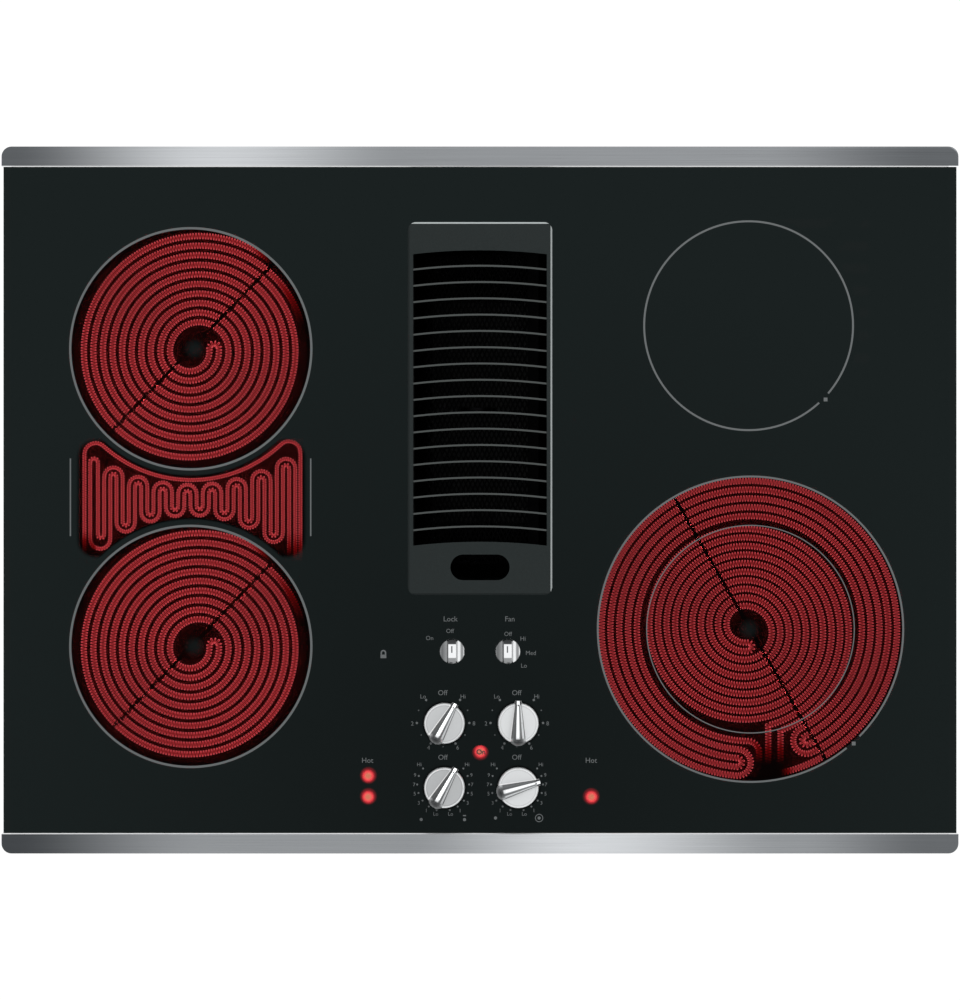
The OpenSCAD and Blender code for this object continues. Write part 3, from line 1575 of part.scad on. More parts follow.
glass_top();
front_trim();
rear_trim();
rim_gasket();
burner_box();
control_bracket();
left_rear_switch();
right_rear_switch();
left_front_switch();
right_front_switch();
left_rear_spring_cup();
right_rear_spring_cup();
left_front_spring_cup();
right_front_spring_cup();
left_rear_shaft();
right_rear_shaft();
left_front_shaft();
right_front_shaft();
left_rear_knob();
right_rear_knob();
left_front_knob();
right_front_knob();
lock_switch();
fan_switch();
lock_shaft();
fan_shaft();
lock_knob();
fan_knob();
indicator_lamps();
left_rear_dish();
left_front_dish();
right_rear_dish();
right_front_dish();
element_insulation();
left_rear_ribbon();
left_front_ribbon();
bridge_ribbon();
right_rear_ribbon();
right_front_inner_ribbon();
right_front_outer_ribbon();
element_limiters();
left_element_rail();
right_element_rail();
plenum();
throat_gasket();
blower_housing();
blower_wheel();
motor_shaft();
blower_motor();
duct_transition();
duct_collar();
junction_box();
junction_cover();
terminal_block();
conduit_connector();
vent_grille();
grease_filter();
filter_mesh();
clamp_brackets();
screws_and_nuts();
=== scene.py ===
# %% [markdown]
# # An electric downdraft cooktop
#
# The object is a drop-in cooktop: one sheet of dark glass on a steel burner box, five glowing
# ribbon elements under it, a centre grille that draws fumes down, and six knobs. The solids come
# from the CAD model and stay where they are. This script gives them their finishes, and adds what
# the solids leave plain: the corrugated ribbons, the limiters' quartz, the prints and the filter's
# mesh.
#
# Everything is in metres in the CAD frame. The glass is level, +X is right and +Y is to the back.

# %% Load the frame
import json
import math

import bmesh
import bpy
from mathutils import Matrix, Vector


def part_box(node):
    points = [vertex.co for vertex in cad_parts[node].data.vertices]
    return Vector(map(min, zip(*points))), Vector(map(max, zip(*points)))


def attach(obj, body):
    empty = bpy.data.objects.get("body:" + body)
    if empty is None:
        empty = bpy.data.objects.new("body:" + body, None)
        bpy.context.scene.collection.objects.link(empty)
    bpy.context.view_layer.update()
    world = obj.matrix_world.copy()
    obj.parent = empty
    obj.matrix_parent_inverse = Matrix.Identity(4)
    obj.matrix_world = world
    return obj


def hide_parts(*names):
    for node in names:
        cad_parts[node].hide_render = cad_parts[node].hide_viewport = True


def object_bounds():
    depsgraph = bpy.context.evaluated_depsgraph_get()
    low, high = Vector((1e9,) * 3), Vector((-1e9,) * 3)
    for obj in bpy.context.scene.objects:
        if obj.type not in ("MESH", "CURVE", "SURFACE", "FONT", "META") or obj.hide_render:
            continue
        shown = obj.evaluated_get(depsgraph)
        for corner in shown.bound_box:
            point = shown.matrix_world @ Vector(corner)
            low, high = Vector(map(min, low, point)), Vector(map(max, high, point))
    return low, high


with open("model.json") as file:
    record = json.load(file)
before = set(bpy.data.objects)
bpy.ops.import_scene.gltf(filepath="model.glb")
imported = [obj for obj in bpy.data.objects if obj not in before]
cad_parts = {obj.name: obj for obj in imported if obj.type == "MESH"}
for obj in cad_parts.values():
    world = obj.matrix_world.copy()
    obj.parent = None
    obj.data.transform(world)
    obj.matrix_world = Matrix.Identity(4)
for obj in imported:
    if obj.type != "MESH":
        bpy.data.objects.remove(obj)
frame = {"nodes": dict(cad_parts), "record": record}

cad_low, cad_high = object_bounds()
print("CAD box in mm:", [round(v * 1000, 1) for v in (*cad_low, *cad_high)])

# %% [markdown]
# ## Measures that the whole scene shares
#
# Lengths below are in millimetres because a maker reads them so, and they are turned into metres
# when a mesh is made. A few levels of the CAD stack are read from the nodes' boxes, so that the marks
# always sit on the glass that carries them. The photograph looks straight down at one scale, so a
# mark on the glass is placed from its pixel.

# %% Levels and the photograph's scale
MM = 0.001
PIXEL = 0.7929

glass_low, glass_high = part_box("glass_top")
GLASS_TOP = glass_high.z / MM
GLASS_BOTTOM = glass_low.z / MM


def from_pixel(x, y):
    """Place on the glass, in millimetres, of a pixel of the 960 x 1000 photograph."""
    return ((x - 480) * PIXEL, (500 - y) * PIXEL)


def put_in_scene(name, data):
    """An object with this mesh, lamp or camera in the scene."""
    made = bpy.data.objects.new(name, data)
    bpy.context.scene.collection.objects.link(made)
    return made


def object_from(name, bm, *finishes):
    """Turns a bmesh into an object with these finishes."""
    mesh = bpy.data.meshes.new(name)
    bm.to_mesh(mesh)
    bm.free()
    for finish in finishes:
        mesh.materials.append(finish)
    return put_in_scene(name, mesh)


print("glass from", round(GLASS_BOTTOM, 2), "to", round(GLASS_TOP, 2), "mm")

# %% [markdown]
# ## The camera
#
# The photograph shows no side of anything, so the camera hangs straight above the middle and looks
# down with +Y up. A long lens from six metres keeps the knobs' sides hidden, as in the photograph.
# The sensor's long side covers the frame's height.

# %% Hang the camera
VIEW_DISTANCE = 6.0
SENSOR = 36.0
FRAME_HEIGHT = 1000 * PIXEL * MM

camera_data = bpy.data.cameras.new("overhead camera")
camera_data.sensor_width = SENSOR
camera_data.lens = SENSOR * VIEW_DISTANCE / FRAME_HEIGHT
camera_data.clip_end = 50
camera = put_in_scene("overhead camera", camera_data)
camera.location = (0, 0, GLASS_TOP * MM + VIEW_DISTANCE)
bpy.context.scene.camera = camera
bpy.context.scene.view_settings.view_transform = "Standard"
print("lens", round(camera_data.lens, 1), "mm at", VIEW_DISTANCE, "m")

# %% [markdown]
# ## Finishes and how they are built
#
# Each finish is one Principled shader. What is the same all over goes straight onto its sockets.
# What changes over the surface, such as grain, comes from small node groups that several finishes
# share. A group gives out a mask from 0 to 1, and each finish decides what the mask does: mix two
# colours, move the roughness, or raise a bump.

# %% Helpers for nodes
def linear(red, green, blue):
    """A colour read off a screen, 0 to 255, as the linear values that shaders work in."""
    return tuple(
        v / 255 / 12.92 if v <= 10 else ((v / 255 + 0.055) / 1.055) ** 2.4
        for v in (red, green, blue)
    ) + (1.0,)


def new_finish(name, **plain):
    """A material with one Principled shader, and its tree and shader for further wiring."""
    material = bpy.data.materials.new(name)
    material.use_nodes = True
    shader = material.node_tree.nodes["Principled BSDF"]
    for socket, value in plain.items():
        shader.inputs[socket.replace("_", " ")].default_value = value
    return material, material.node_tree, shader


def add(tree, kind, inputs=None, **settings):
    """Adds a node, sets its settings, and fills or links its inputs by name or number."""
    node = tree.nodes.new(kind)
    for setting, value in settings.items():
        setattr(node, setting, value)
    for key, value in (inputs or {}).items():
        socket = node.inputs[key]
        if isinstance(value, bpy.types.NodeSocket):
            tree.links.new(value, socket)
        else:
            socket.default_value = value
    return node


def mix_colours(tree, mask, low, high):
    """A colour that runs from low to high as the mask runs from 0 to 1."""
    node = add(tree, "ShaderNodeMix", {0: mask, 6: low, 7: high}, data_type="RGBA")
    return node.outputs[2]


def spread(tree, mask, low, high, start=0.0, end=1.0):
    """A number that runs from low to high while the mask runs from start to end."""
    names = {"Value": mask, "From Min": start, "From Max": end, "To Min": low, "To Max": high}
    return add(tree, "ShaderNodeMapRange", names).outputs["Result"]


def math_of(tree, operation, a, b=0.0):
    """One arithmetic step."""
    return add(tree, "ShaderNodeMath", {0: a, 1: b}, operation=operation).outputs[0]


def product(tree, number, *factors):
    """Numbers multiplied with each other."""
    for factor in factors:
        number = math_of(tree, "MULTIPLY", number, factor)
    return number


def wire(tree, shader, **sources):
    """Links a shader's sockets to what drives them."""
    for socket, source in sources.items():
        tree.links.new(source, shader.inputs[socket.replace("_", " ")])


def ramp_of(tree, mask, stops, blend="LINEAR"):
    """A colour from a row of stops, each a position and a colour; the last position is 1."""
    node = add(tree, "ShaderNodeValToRGB", {0: mask})
    node.color_ramp.interpolation = blend
    marks = node.color_ramp.elements
    for position, colour in stops[1:-1]:
        marks.new(position).color = colour
    marks[0].color, marks[-1].color = stops[0][1], stops[-1][1]
    return node.outputs["Color"]


def raise_bump(tree, shader, height, depth):
    """Feeds a height mask into the shader's normal; depth is in millimetres."""
    bump = add(tree, "ShaderNodeBump", {"Height": height, "Distance": depth * MM, "Strength": 1.0})
    wire(tree, shader, Normal=bump.outputs["Normal"])


def vector_of(tree, operation, a, b=(0, 0, 0), output="Vector"):
    """One step of vector arithmetic."""
    return add(tree, "ShaderNodeVectorMath", {0: a, 1: b}, operation=operation).outputs[output]


def object_place(tree):
    """The place on the piece, in metres."""
    return add(tree, "ShaderNodeTexCoord").outputs["Object"]


def axes_of(tree, vector):
    """The X, Y and Z of a vector, by name."""
    return add(tree, "ShaderNodeSeparateXYZ", {0: vector}).outputs


def gap_to(tree, x, y):
    """The level distance, in metres, to a place given in millimetres."""
    flat = vector_of(tree, "MULTIPLY", object_place(tree), (1, 1, 0))
    return vector_of(tree, "DISTANCE", flat, (x * MM, y * MM, 0), "Value")


def profile(tree, number, stops):
    """A grey that follows a row of stops, each a number and a level from 0 to 255."""
    first, last = stops[0][0], stops[-1][0]
    along = spread(tree, number, 0.0, 1.0, first, last)
    return ramp_of(tree, along, [((at - first) / (last - first), linear(tone - 2, tone, tone + 1))
                                 for at, tone in stops])


print("helpers ready")

# %% [markdown]
# ## Three shared patterns
#
# Brushed metal is scratched one way only: noise that is squeezed across the lines and stretched
# along them looks like that. Powder paint, moulded plastic and foam share a fine even grit. Hot dip
# galvanised sheet shows spangle, crystals of zinc a few millimetres wide, each at its own angle to
# the light, and Voronoi cells with a value of their own are just that.

# %% The pattern groups
def pattern_group(name, numbers, outputs):
    """An empty shader group with number or vector inputs, and its in and out nodes."""
    group = bpy.data.node_groups.new(name, "ShaderNodeTree")
    for label, value in numbers.items():
        kind = "NodeSocketVector" if isinstance(value, tuple) else "NodeSocketFloat"
        group.interface.new_socket(name=label, in_out="INPUT", socket_type=kind).default_value = value
    for label in outputs:
        group.interface.new_socket(name=label, in_out="OUTPUT", socket_type="NodeSocketFloat")
    return group, group.nodes.new("NodeGroupInput"), group.nodes.new("NodeGroupOutput")


brushed, inlet, outlet = pattern_group("brushed grain", {"Stretch": (8.0, 900.0, 900.0)}, ["Mask"])
moved = vector_of(brushed, "MULTIPLY", object_place(brushed), inlet.outputs["Stretch"])
streaks = add(brushed, "ShaderNodeTexNoise",
              {"Vector": moved, "Scale": 1.0, "Detail": 3.0, "Roughness": 0.6})
brushed.links.new(spread(brushed, streaks.outputs["Fac"], 0.0, 1.0, 0.3, 0.7), outlet.inputs["Mask"])

grit, inlet, outlet = pattern_group("fine grit", {"Scale": 900.0, "Detail": 2.0}, ["Mask"])
grains = add(grit, "ShaderNodeTexNoise", {"Vector": object_place(grit), "Scale": inlet.outputs["Scale"],
                                         "Detail": inlet.outputs["Detail"]})
grit.links.new(spread(grit, grains.outputs["Fac"], 0.0, 1.0, 0.25, 0.75), outlet.inputs["Mask"])

spangle, inlet, outlet = pattern_group("zinc spangle", {"Scale": 90.0}, ["Mask", "Edges"])
wander = add(spangle, "ShaderNodeTexNoise", {"Vector": object_place(spangle), "Scale": 60.0})
pushed = add(spangle, "ShaderNodeVectorMath",
             {0: wander.outputs["Color"], 1: (0.006, 0.006, 0.006), 2: object_place(spangle)},
             operation="MULTIPLY_ADD")
crystals = add(spangle, "ShaderNodeTexVoronoi",
               {"Vector": pushed.outputs[0], "Scale": inlet.outputs["Scale"]})
tone = add(spangle, "ShaderNodeSeparateColor", {"Color": crystals.outputs["Color"]})
spangle.links.new(tone.outputs[0], outlet.inputs["Mask"])
spangle.links.new(spread(spangle, crystals.outputs["Distance"], 0.0, 1.0, 0.3, 0.7),
                  outlet.inputs["Edges"])


def use_pattern(tree, group, output="Mask", **values):
    """Places a shared pattern in a finish with that finish's own values."""
    node = tree.nodes.new("ShaderNodeGroup")
    node.node_tree = group
    for name, value in values.items():
        node.inputs[name].default_value = value
    return node.outputs[output]


print("groups:", [g.name for g in bpy.data.node_groups if g.type == "SHADER"])

# %% [markdown]
# ## Light, floor and background
#
# A white studio: the world is soft light from everywhere, and one large panel at the back right
# gives the knobs and the grille's edges their direction. The world is plain white to the camera and
# in mirrors, and dimmer as a light, so that a colour renders about as it is written. The floor
# glows a little for the camera, which keeps it near white while the soft shadow still shows. From
# below it is clear, so that the underside can be looked at.

# %% Build the studio
AMBIENT = 0.62
PANEL_WATTS = 42.0

world = bpy.data.worlds.new("white studio")
bpy.context.scene.world = world
world.use_nodes = True
sky = world.node_tree
background = sky.nodes["Background"]
background.inputs["Color"].default_value = (1, 1, 1, 1)


def seen_directly(tree):
    """1 for what the camera sees, also in a mirror or through glass."""
    path = add(tree, "ShaderNodeLightPath").outputs
    mirror = math_of(tree, "MAXIMUM", path["Is Camera Ray"], path["Is Glossy Ray"])
    return math_of(tree, "MAXIMUM", mirror, path["Is Transmission Ray"])


sky.links.new(spread(sky, seen_directly(sky), AMBIENT, 1.0), background.inputs["Strength"])

panel_data = bpy.data.lights.new("soft panel", "AREA")
panel_data.size = 1.0
panel_data.energy = PANEL_WATTS
panel = put_in_scene("soft panel", panel_data)
panel.location = (1.5, 1.6, 2.5)
panel.rotation_euler = (-Vector(panel.location)).to_track_quat("-Z", "Y").to_euler()

floor_finish, tree, shader = new_finish("studio floor", Base_Color=(0.2, 0.2, 0.2, 1), Roughness=0.9)
shader.inputs["Specular IOR Level"].default_value = 0.0
shader.inputs["Emission Color"].default_value = (1, 1, 1, 1)
from_below = add(tree, "ShaderNodeNewGeometry").outputs["Backfacing"]
wire(tree, shader, Emission_Strength=spread(tree, seen_directly(tree), 0.2, 0.92),
     Alpha=math_of(tree, "SUBTRACT", 1.0, from_below))

FLOOR_HALF = 6
FLOOR_LEVEL = cad_low.z - 1 * MM
bm = bmesh.new()
bmesh.ops.create_grid(bm, x_segments=1, y_segments=1, size=FLOOR_HALF)
bmesh.ops.translate(bm, verts=bm.verts, vec=(0, 0, FLOOR_LEVEL))
floor = object_from("studio_floor", bm, floor_finish)
print("floor at", round(FLOOR_LEVEL / MM, 1), "mm")

# %% [markdown]
# ## The metals that a cook doesn't see
#
# The burner box, dishes, rails, blower housing and ducts are galvanised sheet: each crystal is a
# little lighter or rougher than the next. The plenum is enamelled dark, the blower's wheel is plain
# pressed sheet, and the filter is painted near black as shade, because no bright metal shows below the
# grille.

# %% Sheet, duct and plated finishes
FINISHES = {}


def keep(slot, material):
    """Files a finish under the record's slot that it belongs to."""
    FINISHES[slot] = material
    return material


galvanised, tree, shader = new_finish("galvanised sheet", Metallic=0.85, Roughness=0.4)
cells = use_pattern(tree, spangle, Scale=110.0)
wire(tree, shader, Roughness=spread(tree, cells, 0.32, 0.5),
     Base_Color=mix_colours(tree, cells, linear(172, 176, 178), linear(206, 209, 210)))
raise_bump(tree, shader, use_pattern(tree, spangle, "Edges", Scale=110.0), 0.02)
keep("galvanised", galvanised)


def patterned(name, pattern, dark, light, roughness, depth, metallic=0.0, **values):
    """A finish whose colour, gloss and height all follow one pattern; its colours are 0 to 255."""
    material, tree, shader = new_finish(name, Metallic=metallic)
    mask = use_pattern(tree, pattern, **values)
    wire(tree, shader, Base_Color=mix_colours(tree, mask, linear(*dark), linear(*light)),
         Roughness=spread(tree, mask, *roughness))
    raise_bump(tree, shader, mask, depth)
    return material


def grained(name, dark, light, stretch, roughness, depth):
    """A brushed, rolled or turned metal: streaks move its colour, gloss and height."""
    return patterned(name, brushed, dark, light, roughness, depth, 1.0, Stretch=stretch)


def gritty(name, dark, light, scale, roughness, depth, metallic=0.0):
    """A paint, plastic, foam or ceramic: an even grit moves its colour, gloss and height."""
    return patterned(name, grit, dark, light, roughness, depth, metallic, Scale=scale)


# Each metal's slot and name, its dark and light colour, the pattern's stretch or scale, the
# roughness it moves between, its depth in millimetres and, for a gritty one, how metallic it is.
GRAINED = {
    "shaft_steel": ("turned shaft", (150, 146, 138), (186, 182, 172), (1500.0, 1500.0, 400.0),
                    (0.25, 0.4), 0.01),
    "wheel_steel": ("pressed wheel sheet", (160, 163, 165), (196, 199, 201), (40.0, 300.0, 300.0),
                    (0.35, 0.5), 0.02),
    # The filter's near-black colour is painted shade for the dark below the grille.
    "filter_aluminium": ("filter painted dark as shade", (9, 9, 10), (20, 20, 21), (30.0, 500.0, 500.0),
                         (0.4, 0.55), 0.01),
}
PLATED = {
    "cast_zinc": ("die cast zinc", (150, 153, 156), (186, 188, 190), 700.0, (0.4, 0.6), 0.05, 1.0),
    "zinc_plate": ("zinc plating", (176, 176, 164), (206, 204, 192), 250.0, (0.28, 0.42), 0.01, 1.0),
    "duct_steel": ("duct enamel", (40, 42, 42), (56, 58, 58), 500.0, (0.4, 0.6), 0.03),
    "motor_paint": ("motor paint", (22, 22, 24), (34, 34, 36), 700.0, (0.3, 0.5), 0.03),
}
for slot_name, values in GRAINED.items():
    keep(slot_name, grained(*values))
for slot_name, values in PLATED.items():
    keep(slot_name, gritty(*values))
print("finishes so far:", sorted(FINISHES))

# %% [markdown]
# ## Plastics, foam and ceramics
#
# These are matt and fine grained. The same grit pattern serves all of them at its own scale: open
# foam is coarse, moulded phenolic is fine, and steatite is a dull, slightly warm ceramic.

# %% Moulded, foamed and fired finishes
MOULDED = {
    "phenolic": ("moulded phenolic", (66, 42, 31), (90, 60, 45), 600.0, (0.5, 0.65), 0.03),
    "nylon": ("moulded nylon", (214, 206, 184), (234, 228, 208), 500.0, (0.45, 0.6), 0.02),
    "block_plastic": ("terminal block plastic", (16, 16, 16), (28, 28, 28), 600.0, (0.4, 0.55), 0.02),
    "foam": ("closed cell foam", (20, 20, 21), (44, 44, 45), 1400.0, (0.8, 0.95), 0.25),
    "steatite": ("steatite", (120, 112, 100), (150, 142, 128), 900.0, (0.7, 0.85), 0.05),
    "fibre": ("ceramic fibre", (70, 62, 54), (104, 94, 82), 1200.0, (0.9, 1.0), 0.3),
}
for slot_name, values in MOULDED.items():
    keep(slot_name, gritty(*values))
print("finishes so far:", sorted(FINISHES))

# %% [markdown]
# ## The dark glass
#
# Cooktop glass ceramic is tinted so deeply that only a glowing ribbon shows through it. It stays a
# real glass here: full transmission, a very deep warm tint and a clean surface. Its mirror image of
# the white studio is what gives the unlit areas their blue-black, so the specular tint sets how
# light it looks. The specular tint paints that reflection away over a lit element, paints it darker
# as a shadow close round a knob, and paints it a little weaker toward the controls. Where nothing is
# lit, the tint is painted deeper still as shade and hides the sheet metal below. The faint
# unevenness of rolled glass is a very shallow bump.
#
# The lit zones are three rounds and the bridge, a box with round corners less the two rounds beside
# it. In the middle of a lit round, a little off its centre, the painted reflection and the deeper
# painted tint stay in a small island.

# %% Glass finish
# A lit round: its centre's pixel, its radius in millimetres and its island's shift in pixels.
LIT_ROUNDS = ((190.8, 348.8, 94.9, 3.7), (190.8, 646.4, 94.9, 3.7), (750.5, 629.2, 120.4, -1.5))
BRIDGE_MIDDLE = (-228.8, 1.2)
BRIDGE_CORE = (76.3, 32.6)
BESIDE_BRIDGE = ((119.9, 100.4), (-116.1, 100.8))
# The glass's own tint, and the deeper tint painted as shade where nothing is lit.
CLEAR_TINT, PAINTED_SHADE_TINT = (0.004, 0.002, 0.002, 1), (0.0012, 0.0006, 0.0006, 1)
# A knob: its place in millimetres, its pointer's angle clockwise from the rear and its disc's painted light
# level, lighter or darker by how the light falls on it.
KNOB_PLACES = {"left_rear_knob": (-28.2, -177.0, 29.0, 202), "right_rear_knob": (30.3, -177.0, 0.0, 224),
               "left_front_knob": (-28.2, -228.0, 30.0, 186), "right_front_knob": (30.3, -228.0, 74.5, 223)}

glass, tree, shader = new_finish("tinted glass ceramic", Base_Color=CLEAR_TINT, Metallic=0.0,
                                 Roughness=0.015, Transmission_Weight=1.0)


def outside(radius, soft, x, y, least=0.0):
    """1 outside a circle on the glass, the least value inside it; all in millimetres."""
    return spread(tree, gap_to(tree, x, y), least, 1.0, (radius - soft) * MM, (radius + soft) * MM)


unlit = []
for px, py, radius, shift in LIT_ROUNDS:
    island = spread(tree, gap_to(tree, *from_pixel(px + shift, py)), 0.6, 0.0, 2.5 * MM, 9 * MM)
    unlit.append(math_of(tree, "MAXIMUM", outside(radius, 0.4, *from_pixel(px, py)), island))
moved = vector_of(tree, "SUBTRACT", object_place(tree), (*(v * MM for v in BRIDGE_MIDDLE), 0.0))
past_core = vector_of(tree, "SUBTRACT", vector_of(tree, "ABSOLUTE", moved),
                      (*(v * MM for v in BRIDGE_CORE), 1.0))
off = vector_of(tree, "LENGTH", vector_of(tree, "MAXIMUM", past_core), output="Value")
bridge = product(tree, spread(tree, off, 1.0, 0.0, 12.0 * MM, 15.5 * MM),
                 *(outside(radius, 0.9, -229.3, y) for y, radius in BESIDE_BRIDGE))
zones = product(tree, *unlit, math_of(tree, "SUBTRACT", 1.0, bridge))
# The painted reflection: taken away over lit zones, painted weaker toward the controls, and painted darker
# round each knob as its shadow.
painted_reflection = product(tree, zones, spread(tree, gap_to(tree, 0, -230), 0.66, 1.0, 0.05, 0.45),
               *(outside(17.4, 1.0, x, y, 0.25) for x, y, turn, tone in KNOB_PLACES.values()))
# Where nothing is lit, the base colour is painted to the deeper tint, as shade.
wire(tree, shader, Base_Color=mix_colours(tree, zones, CLEAR_TINT, PAINTED_SHADE_TINT),
     Specular_Tint=mix_colours(tree, painted_reflection, (0.03, 0.02, 0.02, 1), (0.274, 0.38, 0.38, 1)))
roll = add(tree, "ShaderNodeTexNoise", {"Vector": object_place(tree), "Scale": 40.0, "Detail": 1.0})
raise_bump(tree, shader, roll.outputs["Fac"], 0.01)
keep("glass_ceramic", glass)
print("glass:", glass.name)

# %% [markdown]
# ## The grille's powder coat
#
# The grille has a dark satin powder coat. Its bevelled edge has a painted highlight where it faces
# the rear and the right, and the tops of its bars carry a lighter painted highlight. A face's own
# direction picks the bevels out, and its height picks out the bars.

# %% Grille finish
GRILLE_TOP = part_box("vent_grille")[1].z

coat, tree, shader = new_finish("grille powder coat", Specular_IOR_Level=0.12)
speck = use_pattern(tree, grit, Scale=1300.0)
faces = axes_of(tree, add(tree, "ShaderNodeTexCoord").outputs["Normal"])
level = axes_of(tree, object_place(tree))["Z"]
# Bevel faces that look to the rear or the right get a painted highlight.
upward = spread(tree, faces["Z"], 0.0, 1.0, 0.45, 0.6)
rearward = product(tree, upward, spread(tree, faces["Y"], 0.0, 1.0, 0.45, 0.65))
rightward = product(tree, upward, spread(tree, faces["X"], 0.0, 0.75, 0.45, 0.65))
painted_bevel_highlight = math_of(tree, "MAXIMUM", rearward, rightward)
# The bars' tops lie flat, below the rim and above the skirt's foot; they get a lighter painted highlight.
bars = product(tree, spread(tree, faces["Z"], 0.0, 1.0, 0.9, 0.95),
               spread(tree, level, 1.0, 0.0, GRILLE_TOP - 0.6 * MM, GRILLE_TOP - 0.3 * MM),
               spread(tree, level, 0.0, 1.0, GRILLE_TOP - 1.6 * MM, GRILLE_TOP - 1.2 * MM))
paint = mix_colours(tree, speck, linear(30, 36, 36), linear(38, 44, 44))
paint = mix_colours(tree, bars, paint, linear(76, 80, 79))
# The painted highlight on the bevels is laid over the paint.
wire(tree, shader, Base_Color=mix_colours(tree, painted_bevel_highlight, paint, linear(186, 192, 192)),
     Roughness=spread(tree, speck, 0.38, 0.55))
raise_bump(tree, shader, speck, 0.04)
keep("grille_paint", coat)

# %% [markdown]
# ## The knobs
#
# The big knobs are satin silver and the small ones are bright plated. On the real ones the lamps
# draw a bright ridge, dark flanks and a bright rim. Here that light and shade is painted into each
# knob's colour: painted highlights and painted shade in five tones, by the distance from its centre
# and from its pointer's middle line, so that it looks alike under any light. Each big knob's disc has
# its own painted light level. The pattern is in the knob's own coordinates and turns with it.

# %% The knobs' own finishes
GRIP_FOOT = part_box("left_rear_knob")[0].z + 7.5 * MM
BAR_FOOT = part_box("lock_knob")[0].z + 5 * MM
# The five levels, 0 to 255, of the knobs' painted light and shade.
SHADE, DIM, GREY, LIGHT, BRIGHT = 55, 105, 150, 205, 248


def along_way(tree, x, y, degrees):
    """The distance from a place, in metres, along a way that is counted clockwise from the rear."""
    turn = math.radians(degrees)
    moved = vector_of(tree, "SUBTRACT", object_place(tree), (x * MM, y * MM, 0))
    return vector_of(tree, "DOT_PRODUCT", moved, (math.sin(turn), math.cos(turn), 0), "Value")


def above(tree, level):
    """1 above a level and 0 below it."""
    return spread(tree, axes_of(tree, object_place(tree))["Z"], 0.0, 1.0, level, level + 0.1 * MM)


def element_knob_finish(name, x, y, turn, tone):
    """Satin silver with painted light and shade: a painted highlight on the rim, one flank in painted shade
    and one painted light, a painted highlight on the ridge and a painted grey back.
    """
    material, tree, shader = new_finish(name, Metallic=0.55, Roughness=0.4)
    across, ahead = along_way(tree, x, y, turn + 90), along_way(tree, x, y, turn)
    # The disc: its own painted light level, with a painted highlight at its rim.
    disc = profile(tree, gap_to(tree, x, y), [
        (0.0, tone), (13.4 * MM, tone), (14.3 * MM, tone - 22), (14.9 * MM, BRIGHT), (16.2 * MM, BRIGHT)])
    half = math_of(tree, "SUBTRACT", 4.33 * MM, product(tree, ahead, 0.118))
    share = math_of(tree, "DIVIDE", across, half)
    # A thin painted highlight on the disc along the grip's left foot.
    line = profile(tree, share, [(-1.3, 0), (-1.2, 0), (-1.12, 255), (-1.02, 255), (-1.0, 0)])
    disc = mix_colours(tree, line, disc, linear(250, 250, 250))
    # The grip: painted shade on its flanks and painted highlights on its ridge and along its right side.
    grip = profile(tree, share, [
        (-1.0, SHADE), (-0.65, DIM), (-0.4, SHADE), (-0.3, BRIGHT), (0.1, BRIGHT), (0.2, GREY),
        (0.4, DIM), (0.5, DIM), (0.6, BRIGHT), (0.8, BRIGHT), (0.9, SHADE), (1.0, SHADE)])
    # The tip: a painted highlight in its middle and painted shade at its sides.
    tip_tone = profile(tree, across, [(-2.4 * MM, SHADE), (-1.5 * MM, SHADE), (-1.25 * MM, BRIGHT),
                                      (1.25 * MM, BRIGHT), (1.5 * MM, SHADE), (2.4 * MM, SHADE)])
    tip = spread(tree, ahead, 0.0, 1.0, 14.2 * MM, 15.4 * MM)
    grip = mix_colours(tree, tip, grip, tip_tone)
    centre = [(x + math.sin(math.radians(turn)) * d, y + math.cos(math.radians(turn)) * d)
              for d in (-12.3, 14.6)]
    # The rounded back: painted shade at its middle, ringed with painted light.
    back = profile(tree, gap_to(tree, *centre[0]), [
        (0.0, SHADE), (1.5 * MM, SHADE), (4.0 * MM, GREY), (4.8 * MM, LIGHT), (5.6 * MM, LIGHT),
        (6.2 * MM, GREY)])
    behind = spread(tree, ahead, 1.0, 0.0, -12.6 * MM, -11.2 * MM)
    grip = mix_colours(tree, behind, grip, back)
    inset = spread(tree, gap_to(tree, *centre[1]), 1.0, 0.0, 0.45 * MM, 0.75 * MM)
    grip = mix_colours(tree, inset, grip, linear(40, 42, 43))
    body = mix_colours(tree, above(tree, GRIP_FOOT), disc, grip)
    speck = use_pattern(tree, grit, Scale=1600.0)
    wire(tree, shader, Base_Color=mix_colours(tree, spread(tree, speck, 0.05, 0.0), body,
                                              linear(150, 152, 154)))
    raise_bump(tree, shader, speck, 0.01)
    return material


